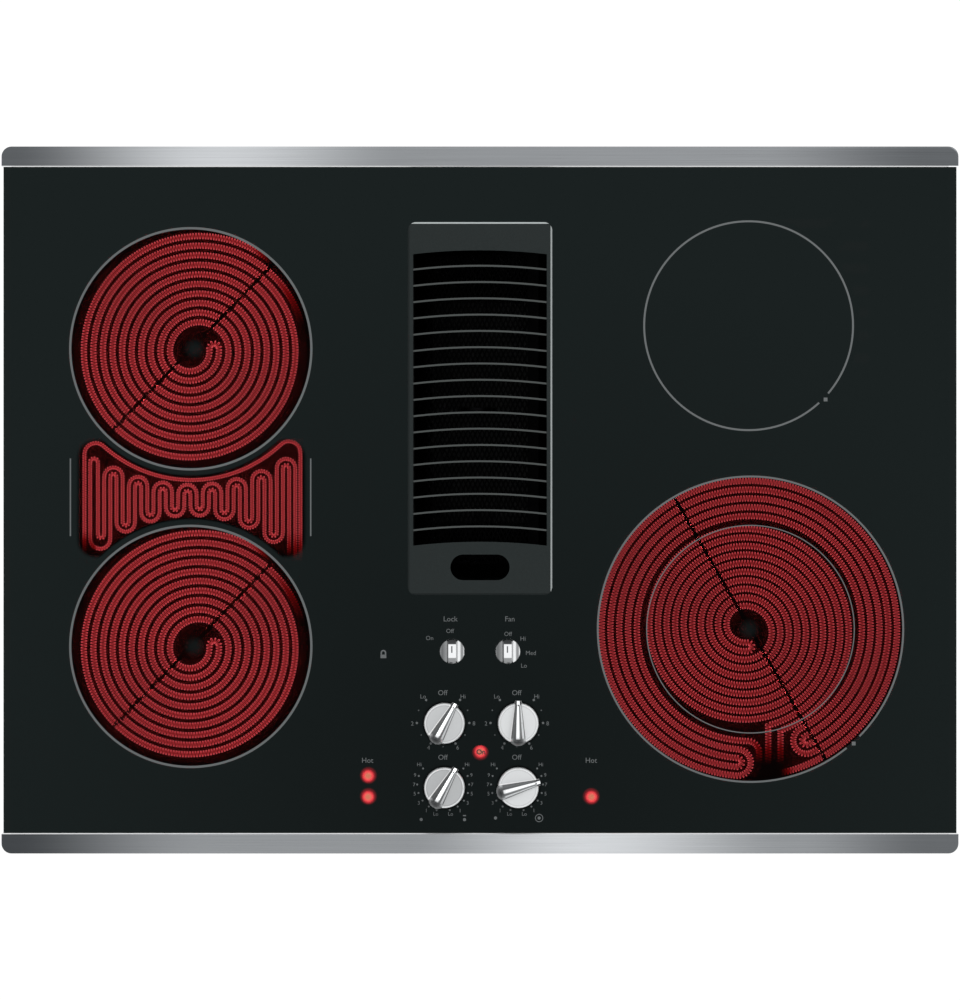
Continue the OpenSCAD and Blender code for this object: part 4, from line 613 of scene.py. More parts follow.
def small_knob_finish(name, x, y):
    """Bright plating with painted light and shade: a painted highlight on the bar's middle, painted shade
    at its rear end and flanks, and painted light and shade on the side segments.
    """
    material, tree, shader = new_finish(name, Metallic=0.9, Roughness=0.2)
    across, ahead = along_way(tree, x, y, 90), along_way(tree, x, y, 0)
    # The side segments: painted light and shade across the knob.
    sides = profile(tree, across, [
        (-10.0 * MM, GREY), (-8.0 * MM, DIM), (-5.0 * MM, GREY), (4.0 * MM, BRIGHT), (6.0 * MM, BRIGHT),
        (7.0 * MM, GREY), (8.5 * MM, GREY), (9.2 * MM, BRIGHT), (10.0 * MM, BRIGHT)])
    # The bar: painted shade at its rear end and front, and a painted highlight along its middle.
    bar = profile(tree, ahead, [
        (-10.0 * MM, SHADE), (-9.4 * MM, GREY), (-5.2 * MM, GREY), (-4.6 * MM, BRIGHT),
        (5.6 * MM, BRIGHT), (6.2 * MM, SHADE), (10.0 * MM, SHADE)])
    slot_side = math_of(tree, "ABSOLUTE", math_of(tree, "ADD", across, 0.3 * MM))
    slot_end = math_of(tree, "ABSOLUTE", math_of(tree, "SUBTRACT", ahead, 1.8 * MM))
    slot_mark = product(tree, spread(tree, slot_side, 1.0, 0.0, 0.35 * MM, 0.7 * MM),
                        spread(tree, slot_end, 1.0, 0.0, 2.4 * MM, 2.9 * MM))
    bar = mix_colours(tree, slot_mark, bar, linear(104, 106, 108))
    # Painted shade on the bar's flanks.
    flank = spread(tree, math_of(tree, "ABSOLUTE", across), 0.0, 1.0, 3.0 * MM, 3.3 * MM)
    bar = mix_colours(tree, flank, bar, linear(44, 46, 48))
    body = mix_colours(tree, above(tree, BAR_FOOT), sides, bar)
    smudge = use_pattern(tree, grit, Scale=160.0)
    wire(tree, shader, Base_Color=mix_colours(tree, spread(tree, smudge, 0.06, 0.0), body,
                                              linear(150, 152, 154)))
    return material


KNOB_FINISHES = {node: element_knob_finish(node.replace("_", " ") + " satin", *place)
                 for node, place in KNOB_PLACES.items()}
for node in ("lock_knob", "fan_knob"):
    low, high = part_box(node)
    KNOB_FINISHES[node] = small_knob_finish(node.replace("_", " ") + " plating",
                                            (low.x + high.x) / 2 / MM, (low.y + high.y) / 2 / MM)
print("knob finishes:", len(KNOB_FINISHES))

# %% [markdown]
# ## The trims
#
# The two trims are steel, brushed along their length, with a painted highlight on the bevel at their
# inner edge. On each trim one studio lamp's reflection is painted into the colour as a wide soft
# light place, with painted shade toward both ends. The lists say where along the trim it is painted
# light or dark, from 0 at the left to 1 at the right, and how light. The ramp eases from one to the
# next.

# %% Trim finishes
# The painted reflection along each trim: a place from 0 to 1 and how light it is painted there.
REAR_PAINTED_REFLECTION = ((0.0, 95), (0.23, LIGHT), (0.43, 145), (0.8, 145), (1.0, 95))
FRONT_PAINTED_REFLECTION = ((0.0, 70), (0.22, GREY), (0.43, GREY), (0.63, 215), (0.85, GREY), (1.0, DIM))


def brushed_trim(name, lights, inner_edge, side):
    """Steel brushed along X whose colour is a painted reflection that follows its stops; the bevel at its
    inner edge has a painted highlight.
    """
    material, tree, shader = new_finish(name, Metallic=1.0)
    place = axes_of(tree, object_place(tree))
    along = spread(tree, place["X"], 0.0, 1.0, from_pixel(10, 0)[0] * MM, from_pixel(930, 0)[0] * MM)
    # The base colour is a painted reflection of the studio lamps.
    tone = ramp_of(tree, along, [(at, linear(light - 2, light + 1, light + 4)) for at, light in lights],
                   "EASE")
    streak = use_pattern(tree, brushed, Stretch=(7.0, 1600.0, 1600.0))
    toned = mix_colours(tree, spread(tree, streak, 0.12, 0.0), tone, (0.02, 0.02, 0.02, 1))
    # A painted highlight on the bevel at the inner edge.
    bevel = spread(tree, product(tree, place["Y"], side), 1.0, 0.0, inner_edge + 0.6 * MM,
                   inner_edge + 1.0 * MM)
    wire(tree, shader, Base_Color=mix_colours(tree, bevel, toned, linear(240, 241, 242)),
         Roughness=spread(tree, streak, 0.26, 0.36))
    raise_bump(tree, shader, streak, 0.008)
    return material


rear_low, rear_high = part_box("rear_trim")
front_low, front_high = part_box("front_trim")
TRIM_DEPTH = 16.2
rear_steel = brushed_trim("rear trim steel", REAR_PAINTED_REFLECTION, rear_high.y - TRIM_DEPTH * MM, 1.0)
front_steel = brushed_trim("front trim steel", FRONT_PAINTED_REFLECTION, -front_low.y - TRIM_DEPTH * MM, -1.0)
print("trims:", rear_steel.name, "and", front_steel.name)

# %% [markdown]
# ## Lamps
#
# Each lamp is a red lens just below the glass, bright at its middle and dark at its rim. The five
# lenses are one node and four of them are lit, so the glow is drawn by the distance to the nearest
# lit centre. It is strong, because the glass in front of it keeps most of it back, and it only
# counts where it is looked at, so that it doesn't light the bracket round it.

# %% Lamp finish
LIT_PIXELS = ((368.1, 776), (368.1, 797), (591.5, 797), (480.4, 751.9))
GLOW_R = 7.0

lens, tree, shader = new_finish("lit red lens", Roughness=0.25)
nearest = None
for pixel in LIT_PIXELS:
    gap = gap_to(tree, *from_pixel(*pixel))
    nearest = gap if nearest is None else math_of(tree, "MINIMUM", nearest, gap)
across = spread(tree, nearest, 0.0, 1.0, 0.0, GLOW_R * MM)
glow = ramp_of(tree, across, [(0.0, (0.6, 0.36, 0.2, 1)), (0.24, (0.72, 0.38, 0.23, 1)),
                              (0.42, (0.95, 0.2, 0.19, 1)), (0.54, (0.85, 0.1, 0.125, 1)),
                              (0.68, (0.36, 0.025, 0.04, 1)), (0.8, (0.13, 0.008, 0.014, 1)),
                              (1.0, (0.0, 0.0, 0.0, 1))])
path = add(tree, "ShaderNodeLightPath").outputs
looked_at = math_of(tree, "MAXIMUM", path["Is Camera Ray"], path["Is Transmission Ray"])
wire(tree, shader, Emission_Color=glow, Emission_Strength=spread(tree, looked_at, 0.0, 800.0),
     Base_Color=mix_colours(tree, across, (0.5, 0.04, 0.03, 1), (0.2, 0.01, 0.01, 1)))
lens.cycles.emission_sampling = "NONE"
keep("red_lens", lens)
print("lens glow over", GLOW_R, "mm")

# %% [markdown]
# ## Dress the CAD nodes
#
# The record says which slot each node takes its finish from. A node's mesh is never touched: only
# the material in its first slot changes. The ribbons have a finish of their own further down.

# %% Put each finish on its nodes
def dress(node, material):
    """Gives a CAD node one finish all over."""
    mesh = frame["nodes"][node].data
    mesh.materials.clear()
    mesh.materials.append(material)


SLOT_OF = {part["node"]: part["material_slot"] for part in frame["record"]["subparts"]}
for node, slot_name in SLOT_OF.items():
    if slot_name in FINISHES:
        dress(node, FINISHES[slot_name])
dress("rear_trim", rear_steel)
dress("front_trim", front_steel)
for node, material in KNOB_FINISHES.items():
    dress(node, material)
print("left for later:", sorted(n for n, s in SLOT_OF.items() if s not in FINISHES))

# %% [markdown]
# ## The routes of the ribbons
#
# A radiant element is heated by a thin corrugated ribbon that stands on edge and winds over the
# whole dish. Each winding is a list of arcs and straight runs, the same ones that shape the CAD
# strips, so the ribbons lie where the solids do.

# %% Pieces of a route
def arc(centre, radius, start, end):
    """Part of a circle, in degrees, as points a millimetre or two apart."""
    count = max(3, math.ceil(abs(end - start) * radius * math.pi / 180 / 1.5))
    turns = [math.radians(start + (end - start) * i / count) for i in range(count + 1)]
    return [(centre[0] + radius * math.cos(t), centre[1] + radius * math.sin(t)) for t in turns]


def straight(a, b):
    """A straight run between two points."""
    count = max(1, math.ceil(math.dist(a, b) / 1.5))
    return [(a[0] + (b[0] - a[0]) * i / count, a[1] + (b[1] - a[1]) * i / count)
            for i in range(count + 1)]


def join(pieces):
    """One chain of points, without the ones that neighbours share."""
    chain = []
    for piece in pieces:
        for point in piece:
            if not chain or math.dist(chain[-1], point) > 0.3:
                chain.append(point)
    return chain


def double_spiral(centre, pitch, inner_r, half_turns, rise, stops):
    """In along half circles, back in a hook at the middle, and out beside itself."""
    cx, cy = centre
    right, left = (cx + pitch / 2, cy), (cx - pitch / 2, cy)
    pieces = []
    for j in range(half_turns):
        radius = inner_r + (half_turns - j) * pitch
        pieces.append(arc(right, radius, stops[0] if j == 0 else 0, 180) if j % 2 == 0
                      else arc(left, radius, 180, 360))
    outer_x, inner_x = cx + inner_r + pitch / 2, cx + inner_r - pitch / 2
    pieces.append(straight((outer_x, cy), (outer_x, cy + rise)))
    pieces.append(arc((cx + inner_r, cy + rise), pitch / 2, 0, 180))
    pieces.append(straight((inner_x, cy + rise), (inner_x, cy)))
    for j in range(half_turns):
        radius = inner_r + j * pitch
        pieces.append(arc(left, radius, 360, 180) if j % 2 == 0
                      else arc(right, radius, 180, stops[1] if j == half_turns - 1 else 0))
    return pieces


LEFT_REAR = (-229.3, 119.9)
LEFT_FRONT = (-229.3, -116.1)
RIGHT_REAR = (213.0, 138.2)
RIGHT_FRONT = (214.5, -102.4)
PITCH, HOOK_RISE, END_ANGLES = 7.6, 2.5, (50, 12)


def plain_route(centre, inner_r, half_turns, aside=(0.0, 0.0)):
    """A winding whose two ends lie at its rim; its hook may stand a little off the middle."""
    middle = (centre[0] + aside[0], centre[1] + aside[1])
    return join(double_spiral(middle, PITCH, inner_r, half_turns, HOOK_RISE, END_ANGLES))


left_rear_route = plain_route(LEFT_REAR, 15.7, 10, (2.4, -1.9))
left_front_route = plain_route(LEFT_FRONT, 15.7, 10, (2.4, -1.9))
right_rear_route = plain_route(RIGHT_REAR, 13, 8)
print("left rear ribbon:", round(sum(map(math.dist, left_rear_route, left_rear_route[1:]))), "mm long")

# %% The two ribbons of the right front element
LEAD_END_Y = RIGHT_FRONT[1] - 109


def quarter_turned(points, centre):
    """Points turned a quarter turn clockwise about a centre."""
    return [(centre[0] + y - centre[1], centre[1] - (x - centre[0])) for x, y in points]


def inner_route():
    """A double spiral whose two leads run straight to the front."""
    pitch, inner_r, turns = 6.8, 14.6, 10
    centre = (RIGHT_FRONT[0] - 4.1, RIGHT_FRONT[1] + 0.3)
    big_r = inner_r + turns * pitch
    half = (centre[0], centre[1] - pitch / 2)
    spiral = [quarter_turned(p, centre)
              for p in double_spiral(centre, pitch, inner_r, turns, HOOK_RISE, (0, 0))]
    outer_stop = -math.degrees(math.acos(28.4 / big_r))
    inner_stop = -math.degrees(math.acos(18.6 / (big_r - pitch)))
    first = arc(half, big_r, outer_stop, 90)
    last = arc(half, big_r - pitch, 90, inner_stop)
    return join([straight((first[0][0], LEAD_END_Y), first[0]), first, *spiral[1:-1], last,
                 straight(last[-1], (last[-1][0], LEAD_END_Y))])


def outer_route():
    """Five lanes round the inner element, joined by nested hairpins at the front."""
    pitch, left, right, turn, bend_r = 7.0, -95, -63, 265, 9.0
    centre = (RIGHT_FRONT[0] - 0.5, RIGHT_FRONT[1] + 0.3)

    def lane_r(k):
        return 89.4 + k * pitch

    def lane(k, start, end):
        return arc(centre, lane_r(k), start, end)

    def hairpin(i, j, angle, start, end):
        middle = (lane_r(i) + lane_r(j)) / 2
        at = (centre[0] + middle * math.cos(math.radians(angle)),
              centre[1] + middle * math.sin(math.radians(angle)))
        return arc(at, abs(lane_r(j) - lane_r(i)) / 2, angle + start, angle + end)

    bend_a = -math.degrees(math.acos((7.7 - bend_r) / (lane_r(0) + bend_r)))
    reach = lane_r(0) + bend_r
    bend = (centre[0] + reach * math.cos(math.radians(bend_a)),
            centre[1] + reach * math.sin(math.radians(bend_a)))
    return join([
        straight((bend[0] + bend_r, LEAD_END_Y), (bend[0] + bend_r, bend[1])),
        arc(bend, bend_r, 0, 180 + bend_a), lane(0, 360 + bend_a, right),
        hairpin(0, 3, right, 180, 360), lane(3, right, turn), hairpin(3, 2, left, 0, 180),
        lane(2, turn, right), hairpin(2, 1, right, 360, 180), lane(1, right, turn),
        hairpin(1, 4, left, 180, 0), lane(4, turn, -78)])


right_inner_route = inner_route()
right_outer_route = outer_route()
print("right front ribbons:", len(right_inner_route), "and", len(right_outer_route), "points")

# %% The ribbon of the bridge zone
def bridge_route():
    """A band along the rear element, then two lanes side by side in tall turns to a hairpin."""
    pitch, legs, last_x = 9.8, 16, -149.2
    lane = pitch / 4
    left, right, lead_y, bend_r = -314.3, -142.7, -46.0, 9.0
    band_r, foot_r = 104.0, 101.8 + 0.5 + 3 * lane + 1.6
    hairpin_foot_y, hairpin_top_y, hairpin_pitch = -27.8, 30.0, 6.2

    def lane_x(j, s):
        return last_x - j * pitch + s * lane

    def pair_x(j):
        return last_x - (j + 0.5) * pitch

    def crown_y(j):
        return 4.9 + 148 - math.sqrt(148 ** 2 - (pair_x(j) - LEFT_FRONT[0]) ** 2)

    def foot_y(j):
        return LEFT_FRONT[1] + math.sqrt(foot_r ** 2 - (pair_x(j) - LEFT_FRONT[0]) ** 2)

    def bend_at(x, side):
        dx = x + side * bend_r - LEFT_REAR[0]
        return (x + side * bend_r, LEFT_REAR[1] - math.sqrt((band_r + bend_r) ** 2 - dx * dx))

    lb, rb = bend_at(left, 1), bend_at(right, -1)
    la = math.degrees(math.atan2(lb[1] - LEFT_REAR[1], lb[0] - LEFT_REAR[0]))
    ra = math.degrees(math.atan2(rb[1] - LEFT_REAR[1], rb[0] - LEFT_REAR[0]))
    end_r = (right - lane_x(0, 1)) / 2
    last = legs - 2
    near_x = lane_x(last + 1, -1) - 2 * lane
    far_x = near_x - hairpin_pitch
    back_r = (lane_x(last + 1, 1) - far_x) / 2
    back_x = far_x + back_r
    back_y = LEFT_FRONT[1] + math.sqrt((101.8 + 0.5 + back_r + 1.6) ** 2
                                       - (back_x - LEFT_FRONT[0]) ** 2)
    pieces = [
        straight((left, lead_y), (left, lb[1])), arc(lb, bend_r, 180, la + 180),
        arc(LEFT_REAR, band_r, la, ra), arc(rb, bend_r, ra + 180, 0),
        straight((right, rb[1]), (right, lead_y)), arc((right - end_r, lead_y), end_r, 360, 180)]
    for j in range(0, last + 1, 2):
        pieces += [
            straight((lane_x(j, 1), lead_y if j == 0 else foot_y(j - 1)), (lane_x(j, 1), crown_y(j))),
            arc((pair_x(j), crown_y(j)), 3 * lane, 0, 180),
            straight((lane_x(j + 1, -1), crown_y(j)),
                     (lane_x(j + 1, -1), hairpin_foot_y if j == last else foot_y(j + 1)))]
        if j < last:
            pieces.append(arc((pair_x(j + 1), foot_y(j + 1)), lane, 360, 180))
    pieces += [
        arc((near_x + lane, hairpin_foot_y), lane, 360, 180),
        straight((near_x, hairpin_foot_y), (near_x, hairpin_top_y)),
        arc((near_x - hairpin_pitch / 2, hairpin_top_y), hairpin_pitch / 2, 0, 180),
        straight((far_x, hairpin_top_y), (far_x, back_y)), arc((back_x, back_y), back_r, 180, 360)]
    for j in range(last, -1, -2):
        pieces += [
            straight((lane_x(j + 1, 1), back_y if j == last else foot_y(j + 1)),
                     (lane_x(j + 1, 1), crown_y(j))),
            arc((pair_x(j), crown_y(j)), lane, 180, 0),
            straight((lane_x(j, -1), crown_y(j)),
                     (lane_x(j, -1), lead_y if j == 0 else foot_y(j - 1)))]
        if j > 0:
            pieces.append(arc((pair_x(j - 1), foot_y(j - 1)), 3 * lane, 180, 360))
    return join(pieces)


bridge_line = bridge_route()
print("bridge ribbon:", round(sum(map(math.dist, bridge_line, bridge_line[1:]))), "mm long")

# %% [markdown]
# ## Corrugating a ribbon with Geometry Nodes
#
# A flat strip on edge would be a thin line from above. The real ribbon is folded from side to side
# about every two millimetres, and that zigzag is what glows as a broad band. The tree takes the
# route as a chain of edges, spaces points along it, pushes them aside in a wave, stands a thin
# upright section on it, and keeps how hot each point is in an attribute: the free ends are cooler.

# %% The tree that winds a ribbon
def new_tree(name, source, result, numbers):
    """A Geometry Nodes tree with its sockets, and what it is given."""
    tree = bpy.data.node_groups.new(name, "GeometryNodeTree")
    kinds = {label: {float: "Float", int: "Int", tuple: "Vector"}[type(value)]
             for label, value in numbers.items()}
    for label, kind in {source: "Geometry", **kinds, "Finish": "Material"}.items():
        socket = tree.interface.new_socket(name=label, in_out="INPUT", socket_type="NodeSocket" + kind)
        if label in numbers:
            socket.default_value = numbers[label]
    tree.interface.new_socket(name=result, in_out="OUTPUT", socket_type="NodeSocketGeometry")
    return tree, tree.nodes.new("NodeGroupInput").outputs


def geo(tree, kind, inputs, **settings):
    """Adds one step of a Geometry Nodes tree and gives its first output."""
    return add(tree, "GeometryNode" + kind, inputs, **settings).outputs[0]


def end_tree(tree, given, geometry):
    """Makes instances real, lays the finish on them and hands them out."""
    whole = geo(tree, "RealizeInstances", {"Geometry": geometry})
    finished = geo(tree, "SetMaterial", {"Geometry": whole, "Material": given["Finish"]})
    tree.links.new(finished, tree.nodes.new("NodeGroupOutput").inputs[0])
    return tree


def vector_from(tree, **axes):
    """A vector from the axes that are given."""
    return add(tree, "ShaderNodeCombineXYZ", axes).outputs[0]


def sweep(tree, curve, width, height):
    """A closed bar of oblong section along a curve."""
    section = geo(tree, "CurvePrimitiveQuadrilateral", {"Width": width, "Height": height})
    return geo(tree, "CurveToMesh", {"Curve": curve, "Profile Curve": section, "Fill Caps": True})


def corrugation_tree():
    """Geometry Nodes: a chain of edges becomes an upright corrugated ribbon."""
    tree, given = new_tree("corrugated ribbon", "Route", "Ribbon", {
        "Wave Length": 0.002, "Half Width": 0.0024, "Ribbon Height": 0.005, "Thickness": 0.0004,
        "Cool Start": 0.02, "Cool End": 0.02})

    def warming(length, limit):
        return add(tree, "ShaderNodeMapRange", {"Value": length, "From Max": given[limit]},
                   interpolation_type="SMOOTHSTEP").outputs["Result"]

    step = math_of(tree, "DIVIDE", given["Wave Length"], 8.0)
    points = geo(tree, "ResampleCurve",
                 {"Curve": geo(tree, "MeshToCurve", {"Mesh": given["Route"]}), "Length": step},
                 mode="LENGTH")
    along = tree.nodes.new("GeometryNodeSplineParameter").outputs["Length"]
    total = tree.nodes.new("GeometryNodeSplineLength").outputs["Length"]
    turns = math_of(tree, "DIVIDE", along, given["Wave Length"])
    wave = math_of(tree, "SINE", product(tree, turns, 2 * math.pi))
    bold = math_of(tree, "POWER", math_of(tree, "ABSOLUTE", wave), 0.6)
    glow = product(tree, warming(along, "Cool Start"),
                   warming(math_of(tree, "SUBTRACT", total, along), "Cool End"),
                   spread(tree, bold, 0.45, 1.0, 0.3, 1.0))
    marked = geo(tree, "StoreNamedAttribute", {"Geometry": points, "Name": "glow", "Value": glow},
                 data_type="FLOAT", domain="POINT")
    swing = product(tree, bold, math_of(tree, "SIGN", wave), given["Half Width"])
    tangent = tree.nodes.new("GeometryNodeInputTangent").outputs["Tangent"]
    push = add(tree, "ShaderNodeVectorMath",
               {0: vector_of(tree, "CROSS_PRODUCT", tangent, (0, 0, 1)), "Scale": swing},
               operation="SCALE").outputs[0]
    folded = geo(tree, "SetPosition", {"Geometry": marked, "Offset": push})
    upright = geo(tree, "SetCurveNormal", {"Curve": folded}, mode="Z_UP")
    return end_tree(tree, given, sweep(tree, upright, given["Thickness"], given["Ribbon Height"]))


ribbon_tree = corrugation_tree()
print("tree:", ribbon_tree.name, "with", len(ribbon_tree.nodes), "nodes")

# %% [markdown]
# ## Hot and cold ribbon finishes
#
# The metal is an iron alloy with a dull brown-grey oxide. A hot ribbon's foot stands in the
# insulation, and its glow is painted weaker from its top edge down toward that foot, as painted
# shade, so the gaps between the lanes stay dark. The glass takes most of the light away, so the glow
# is far stronger than it looks.

# %% Ribbon finishes
RIBBON_FOOT = -10.8
RIBBON_TOP = -5.8


def ribbon_finish(name, strength, ends_fade=False):
    """Oxidised metal; when it glows, by its glow attribute and by its height, which paints shade toward its
    foot.
    """
    material, tree, shader = new_finish(name, Metallic=0.6, Roughness=0.6)
    speck = use_pattern(tree, grit, Scale=2500.0)
    wire(tree, shader, Base_Color=mix_colours(tree, speck, linear(50, 46, 44), linear(84, 76, 70)))
    raise_bump(tree, shader, speck, 0.01)
    if strength:
        shader.inputs["Emission Strength"].default_value = strength
        place = axes_of(tree, object_place(tree))
        # The glow is painted weaker toward the ribbon's foot, as shade in the gaps between the lanes.
        painted_foot_shade = spread(tree, place["Z"], 0.16, 1.0, (RIBBON_FOOT + 1) * MM, RIBBON_TOP * MM)
        glow = add(tree, "ShaderNodeAttribute", attribute_name="glow").outputs["Fac"]
        level = product(tree, painted_foot_shade, glow)
        if ends_fade:
            off = math_of(tree, "ABSOLUTE", math_of(tree, "SUBTRACT", place["X"], LEFT_REAR[0] * MM))
            cooling = product(tree, spread(tree, off, 0.0, 1.0, 75 * MM, 77 * MM),
                              spread(tree, place["Y"], 1.0, 0.0, -49 * MM, -24 * MM))
            level = product(tree, level, math_of(tree, "SUBTRACT", 1.0, cooling))
        wire(tree, shader, Emission_Color=ramp_of(tree, level, [
            (0.0, (0, 0, 0, 1)), (0.35, (0.3, 0.008, 0.01, 1)), (1.0, (1.0, 0.23, 0.27, 1))]))
        material.cycles.emission_sampling = "NONE"
    return material


hot_ribbon = ribbon_finish("glowing ribbon", 235.0)
wide_ribbon = ribbon_finish("glowing ribbon of the large element", 185.0)
bridge_finish = ribbon_finish("glowing bridge ribbon", 235.0, ends_fade=True)
cold_ribbon = ribbon_finish("cold ribbon", 0.0)
print("ribbon finishes: four")

# %% Wind the six ribbons
def settle(maker):
    """What a maker object comes to, as a plain mesh; the maker is removed."""
    mesh = bpy.data.meshes.new_from_object(
        maker.evaluated_get(bpy.context.evaluated_depsgraph_get()))
    bpy.data.objects.remove(maker)
    return mesh


def grow(name, mesh, tree, **values):
    """Runs a Geometry Nodes tree on a mesh with named values and keeps the result as a plain mesh."""
    maker = put_in_scene(name + " maker", mesh)
    modifier = maker.modifiers.new("grow", "NODES")
    modifier.node_group = tree
    sockets = {s.name: s.identifier for s in tree.interface.items_tree
               if s.item_type == "SOCKET" and s.in_out == "INPUT"}
    for key, value in values.items():
        modifier[sockets[key.replace("_", " ")]] = value
    return put_in_scene(name, settle(maker))


STRIP = 0.4


def wind_ribbon(node, route, width, wave, cool, finish):
    """Makes one corrugated ribbon over its route and lets it stand for the CAD strip.

    Its width, its wave and the lengths over which its two ends are cooler are in millimetres.
    """
    level = (RIBBON_FOOT + RIBBON_TOP) / 2 * MM
    chain = bpy.data.meshes.new(node + " route")
    chain.from_pydata([(x * MM, y * MM, level) for x, y in route],
                      [(i, i + 1) for i in range(len(route) - 1)], [])
    piece = grow("wound_" + node, chain, ribbon_tree, Wave_Length=wave * MM,
                 Half_Width=(width - STRIP) / 2 * MM, Ribbon_Height=(RIBBON_TOP - RIBBON_FOOT) * MM,
                 Thickness=STRIP * MM, Cool_Start=cool[0] * MM, Cool_End=cool[1] * MM, Finish=finish)
    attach(piece, "root")
    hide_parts(node)
    faces = sum(len(p.vertices) - 2 for p in piece.data.polygons)
    print(node, "has", faces, "triangles")


wind_ribbon("left_rear_ribbon", left_rear_route, 5.2, 2.2, (22, 60), hot_ribbon)
wind_ribbon("left_front_ribbon", left_front_route, 5.2, 2.2, (22, 60), hot_ribbon)
wind_ribbon("right_rear_ribbon", right_rear_route, 5.2, 2.2, (22, 60), cold_ribbon)
wind_ribbon("right_front_inner_ribbon", right_inner_route, 5.2, 2.2, (28, 28), wide_ribbon)
wind_ribbon("right_front_outer_ribbon", right_outer_route, 5.2, 2.2, (28, 14), wide_ribbon)
wind_ribbon("bridge_ribbon", bridge_line, 3.2, 1.9, (24, 10), bridge_finish)

# %% [markdown]
# ## Limiters of quartz
#
# The limiter across each element is a clear quartz tube with a thin metal rod in it. The rod grows
# with the heat, the quartz doesn't, and the difference opens a switch in the ceramic head. The
# lanes show through the tube, so that only the rod draws a thin dark line over them. The CAD has a
# plain rod of the tube's size, and these pieces stand for it.

# %% Build the four limiters
LIMITER_Z = (RIBBON_TOP + GLASS_BOTTOM) / 2
TUBE_R, BORE_R, ROD_R = 1.5, 0.6, 0.42

quartz, tree, shader = new_finish("quartz tube", Base_Color=(0.96, 0.96, 0.96, 1), Roughness=0.02,
                                  Transmission_Weight=1.0, IOR=1.02)
raise_bump(tree, shader, use_pattern(tree, grit, Scale=300.0), 0.002)
rod_metal = grained("limiter rod", (24, 20, 19), (40, 34, 32), (400.0, 1500.0, 1500.0), (0.4, 0.6),
                    0.01)


def lathe(bm, rings, start, end, finish):
    """A bar or tube along X between two places: one radius gives a bar, two give a tube."""
    first = len(bm.faces)
    rows = []
    for radius in rings:
        for x in (start, end):
            rows.append([bm.verts.new((x, radius * math.cos(t * math.pi / 12),
                                       radius * math.sin(t * math.pi / 12))) for t in range(24)])
    for i in range(24):
        j = (i + 1) % 24
        bm.faces.new((rows[0][i], rows[1][i], rows[1][j], rows[0][j]))
        if len(rings) == 2:
            bm.faces.new((rows[2][j], rows[3][j], rows[3][i], rows[2][i]))
            bm.faces.new((rows[0][j], rows[2][j], rows[2][i], rows[0][i]))
            bm.faces.new((rows[1][i], rows[3][i], rows[3][j], rows[1][j]))
    if len(rings) == 1:
        bm.faces.new(rows[0])
        bm.faces.new(rows[1][::-1])
    bm.faces.ensure_lookup_table()
    for face in bm.faces[first:]:
        face.material_index = finish
        face.smooth = len(face.verts) == 4


def block(bm, low, high, finish):
    """A plain block between two corners."""
    made = bmesh.ops.create_cube(bm, size=1)["verts"]
    for v in made:
        v.co = Vector([(a + b) / 2 + c * (b - a) for a, b, c in zip(low, high, v.co)])
    for face in {f for v in made for f in v.link_faces}:
        face.material_index = finish


# Each limiter: its element's centre, the way it points in degrees and where its tube ends.
LIMITERS = ((LEFT_REAR, 46, 101.2), (LEFT_FRONT, 226, 101.2), (RIGHT_REAR, 46, 88.0),
            (RIGHT_FRONT, -60, 127.0))
limiters = bmesh.new()
for at, turn, reach in LIMITERS:
    one = bmesh.new()
    lathe(one, (TUBE_R, BORE_R), 4 - reach, reach + 1.5, 0)
    lathe(one, (ROD_R,), 4 - reach, reach + 1.5, 1)
    block(one, (reach + 1.5, -9, -13), (reach + 31.5, 9, 3), 2)
    for y in (-5, 5):
        block(one, (reach + 31.5, y - 3, -6), (reach + 39.5, y + 3, -5.2), 3)
    one.transform(Matrix.Scale(MM, 4) @ Matrix.Translation((*at, LIMITER_Z))
                  @ Matrix.Rotation(math.radians(turn), 4, "Z"))
    loose = bpy.data.meshes.new("one limiter")
    one.to_mesh(loose)
    one.free()
    limiters.from_mesh(loose)
    bpy.data.meshes.remove(loose)
bmesh.ops.recalc_face_normals(limiters, faces=limiters.faces)
quartz_limiters = object_from("quartz_limiters", limiters, quartz, rod_metal, FINISHES["steatite"],
                              FINISHES["zinc_plate"])
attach(quartz_limiters, "root")
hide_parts("element_limiters")
limiter_low, limiter_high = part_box("element_limiters")
print("CAD box", [round(v / MM, 1) for v in (*limiter_low, *limiter_high)])
corners = [v.co for v in quartz_limiters.data.vertices]
print("own box", [round(side(c[i] for c in corners) / MM, 1) for side in (min, max) for i in range(3)])

# %% [markdown]
# ## Prints on the glass
#
# The marks are ceramic ink fired onto the glass, a few hundredths of a millimetre high. Each mark
# is a thin closed plate. Rings, lines and signs are built from outlines, the dots round the dials
# come from a small Geometry Nodes tree, and letters come from the built-in font.

# %% Plates and bands of ink
INK = 0.04
INK_FOOT, INK_TOP = GLASS_TOP - INK / 4, GLASS_TOP + INK
INK_MIDDLE, INK_DEPTH = GLASS_TOP + INK * 3 / 8, INK * 1.25
marks = bmesh.new()


def plate(ink, outline):
    """A thin plate over a convex outline in millimetres, given counter-clockwise."""
    low, high = ([ink.verts.new((x * MM, y * MM, z * MM)) for x, y in outline]
                 for z in (INK_FOOT, INK_TOP))
    ink.faces.new(list(reversed(low)))
    ink.faces.new(high)
    for i in range(len(outline)):
        j = (i + 1) % len(outline)
        ink.faces.new((low[i], low[j], high[j], high[i]))


def box_mark(ink, x, y, width, depth):
    """A rectangle of ink about its middle."""
    plate(ink, [(x - width / 2, y - depth / 2), (x + width / 2, y - depth / 2),
                (x + width / 2, y + depth / 2), (x - width / 2, y + depth / 2)])


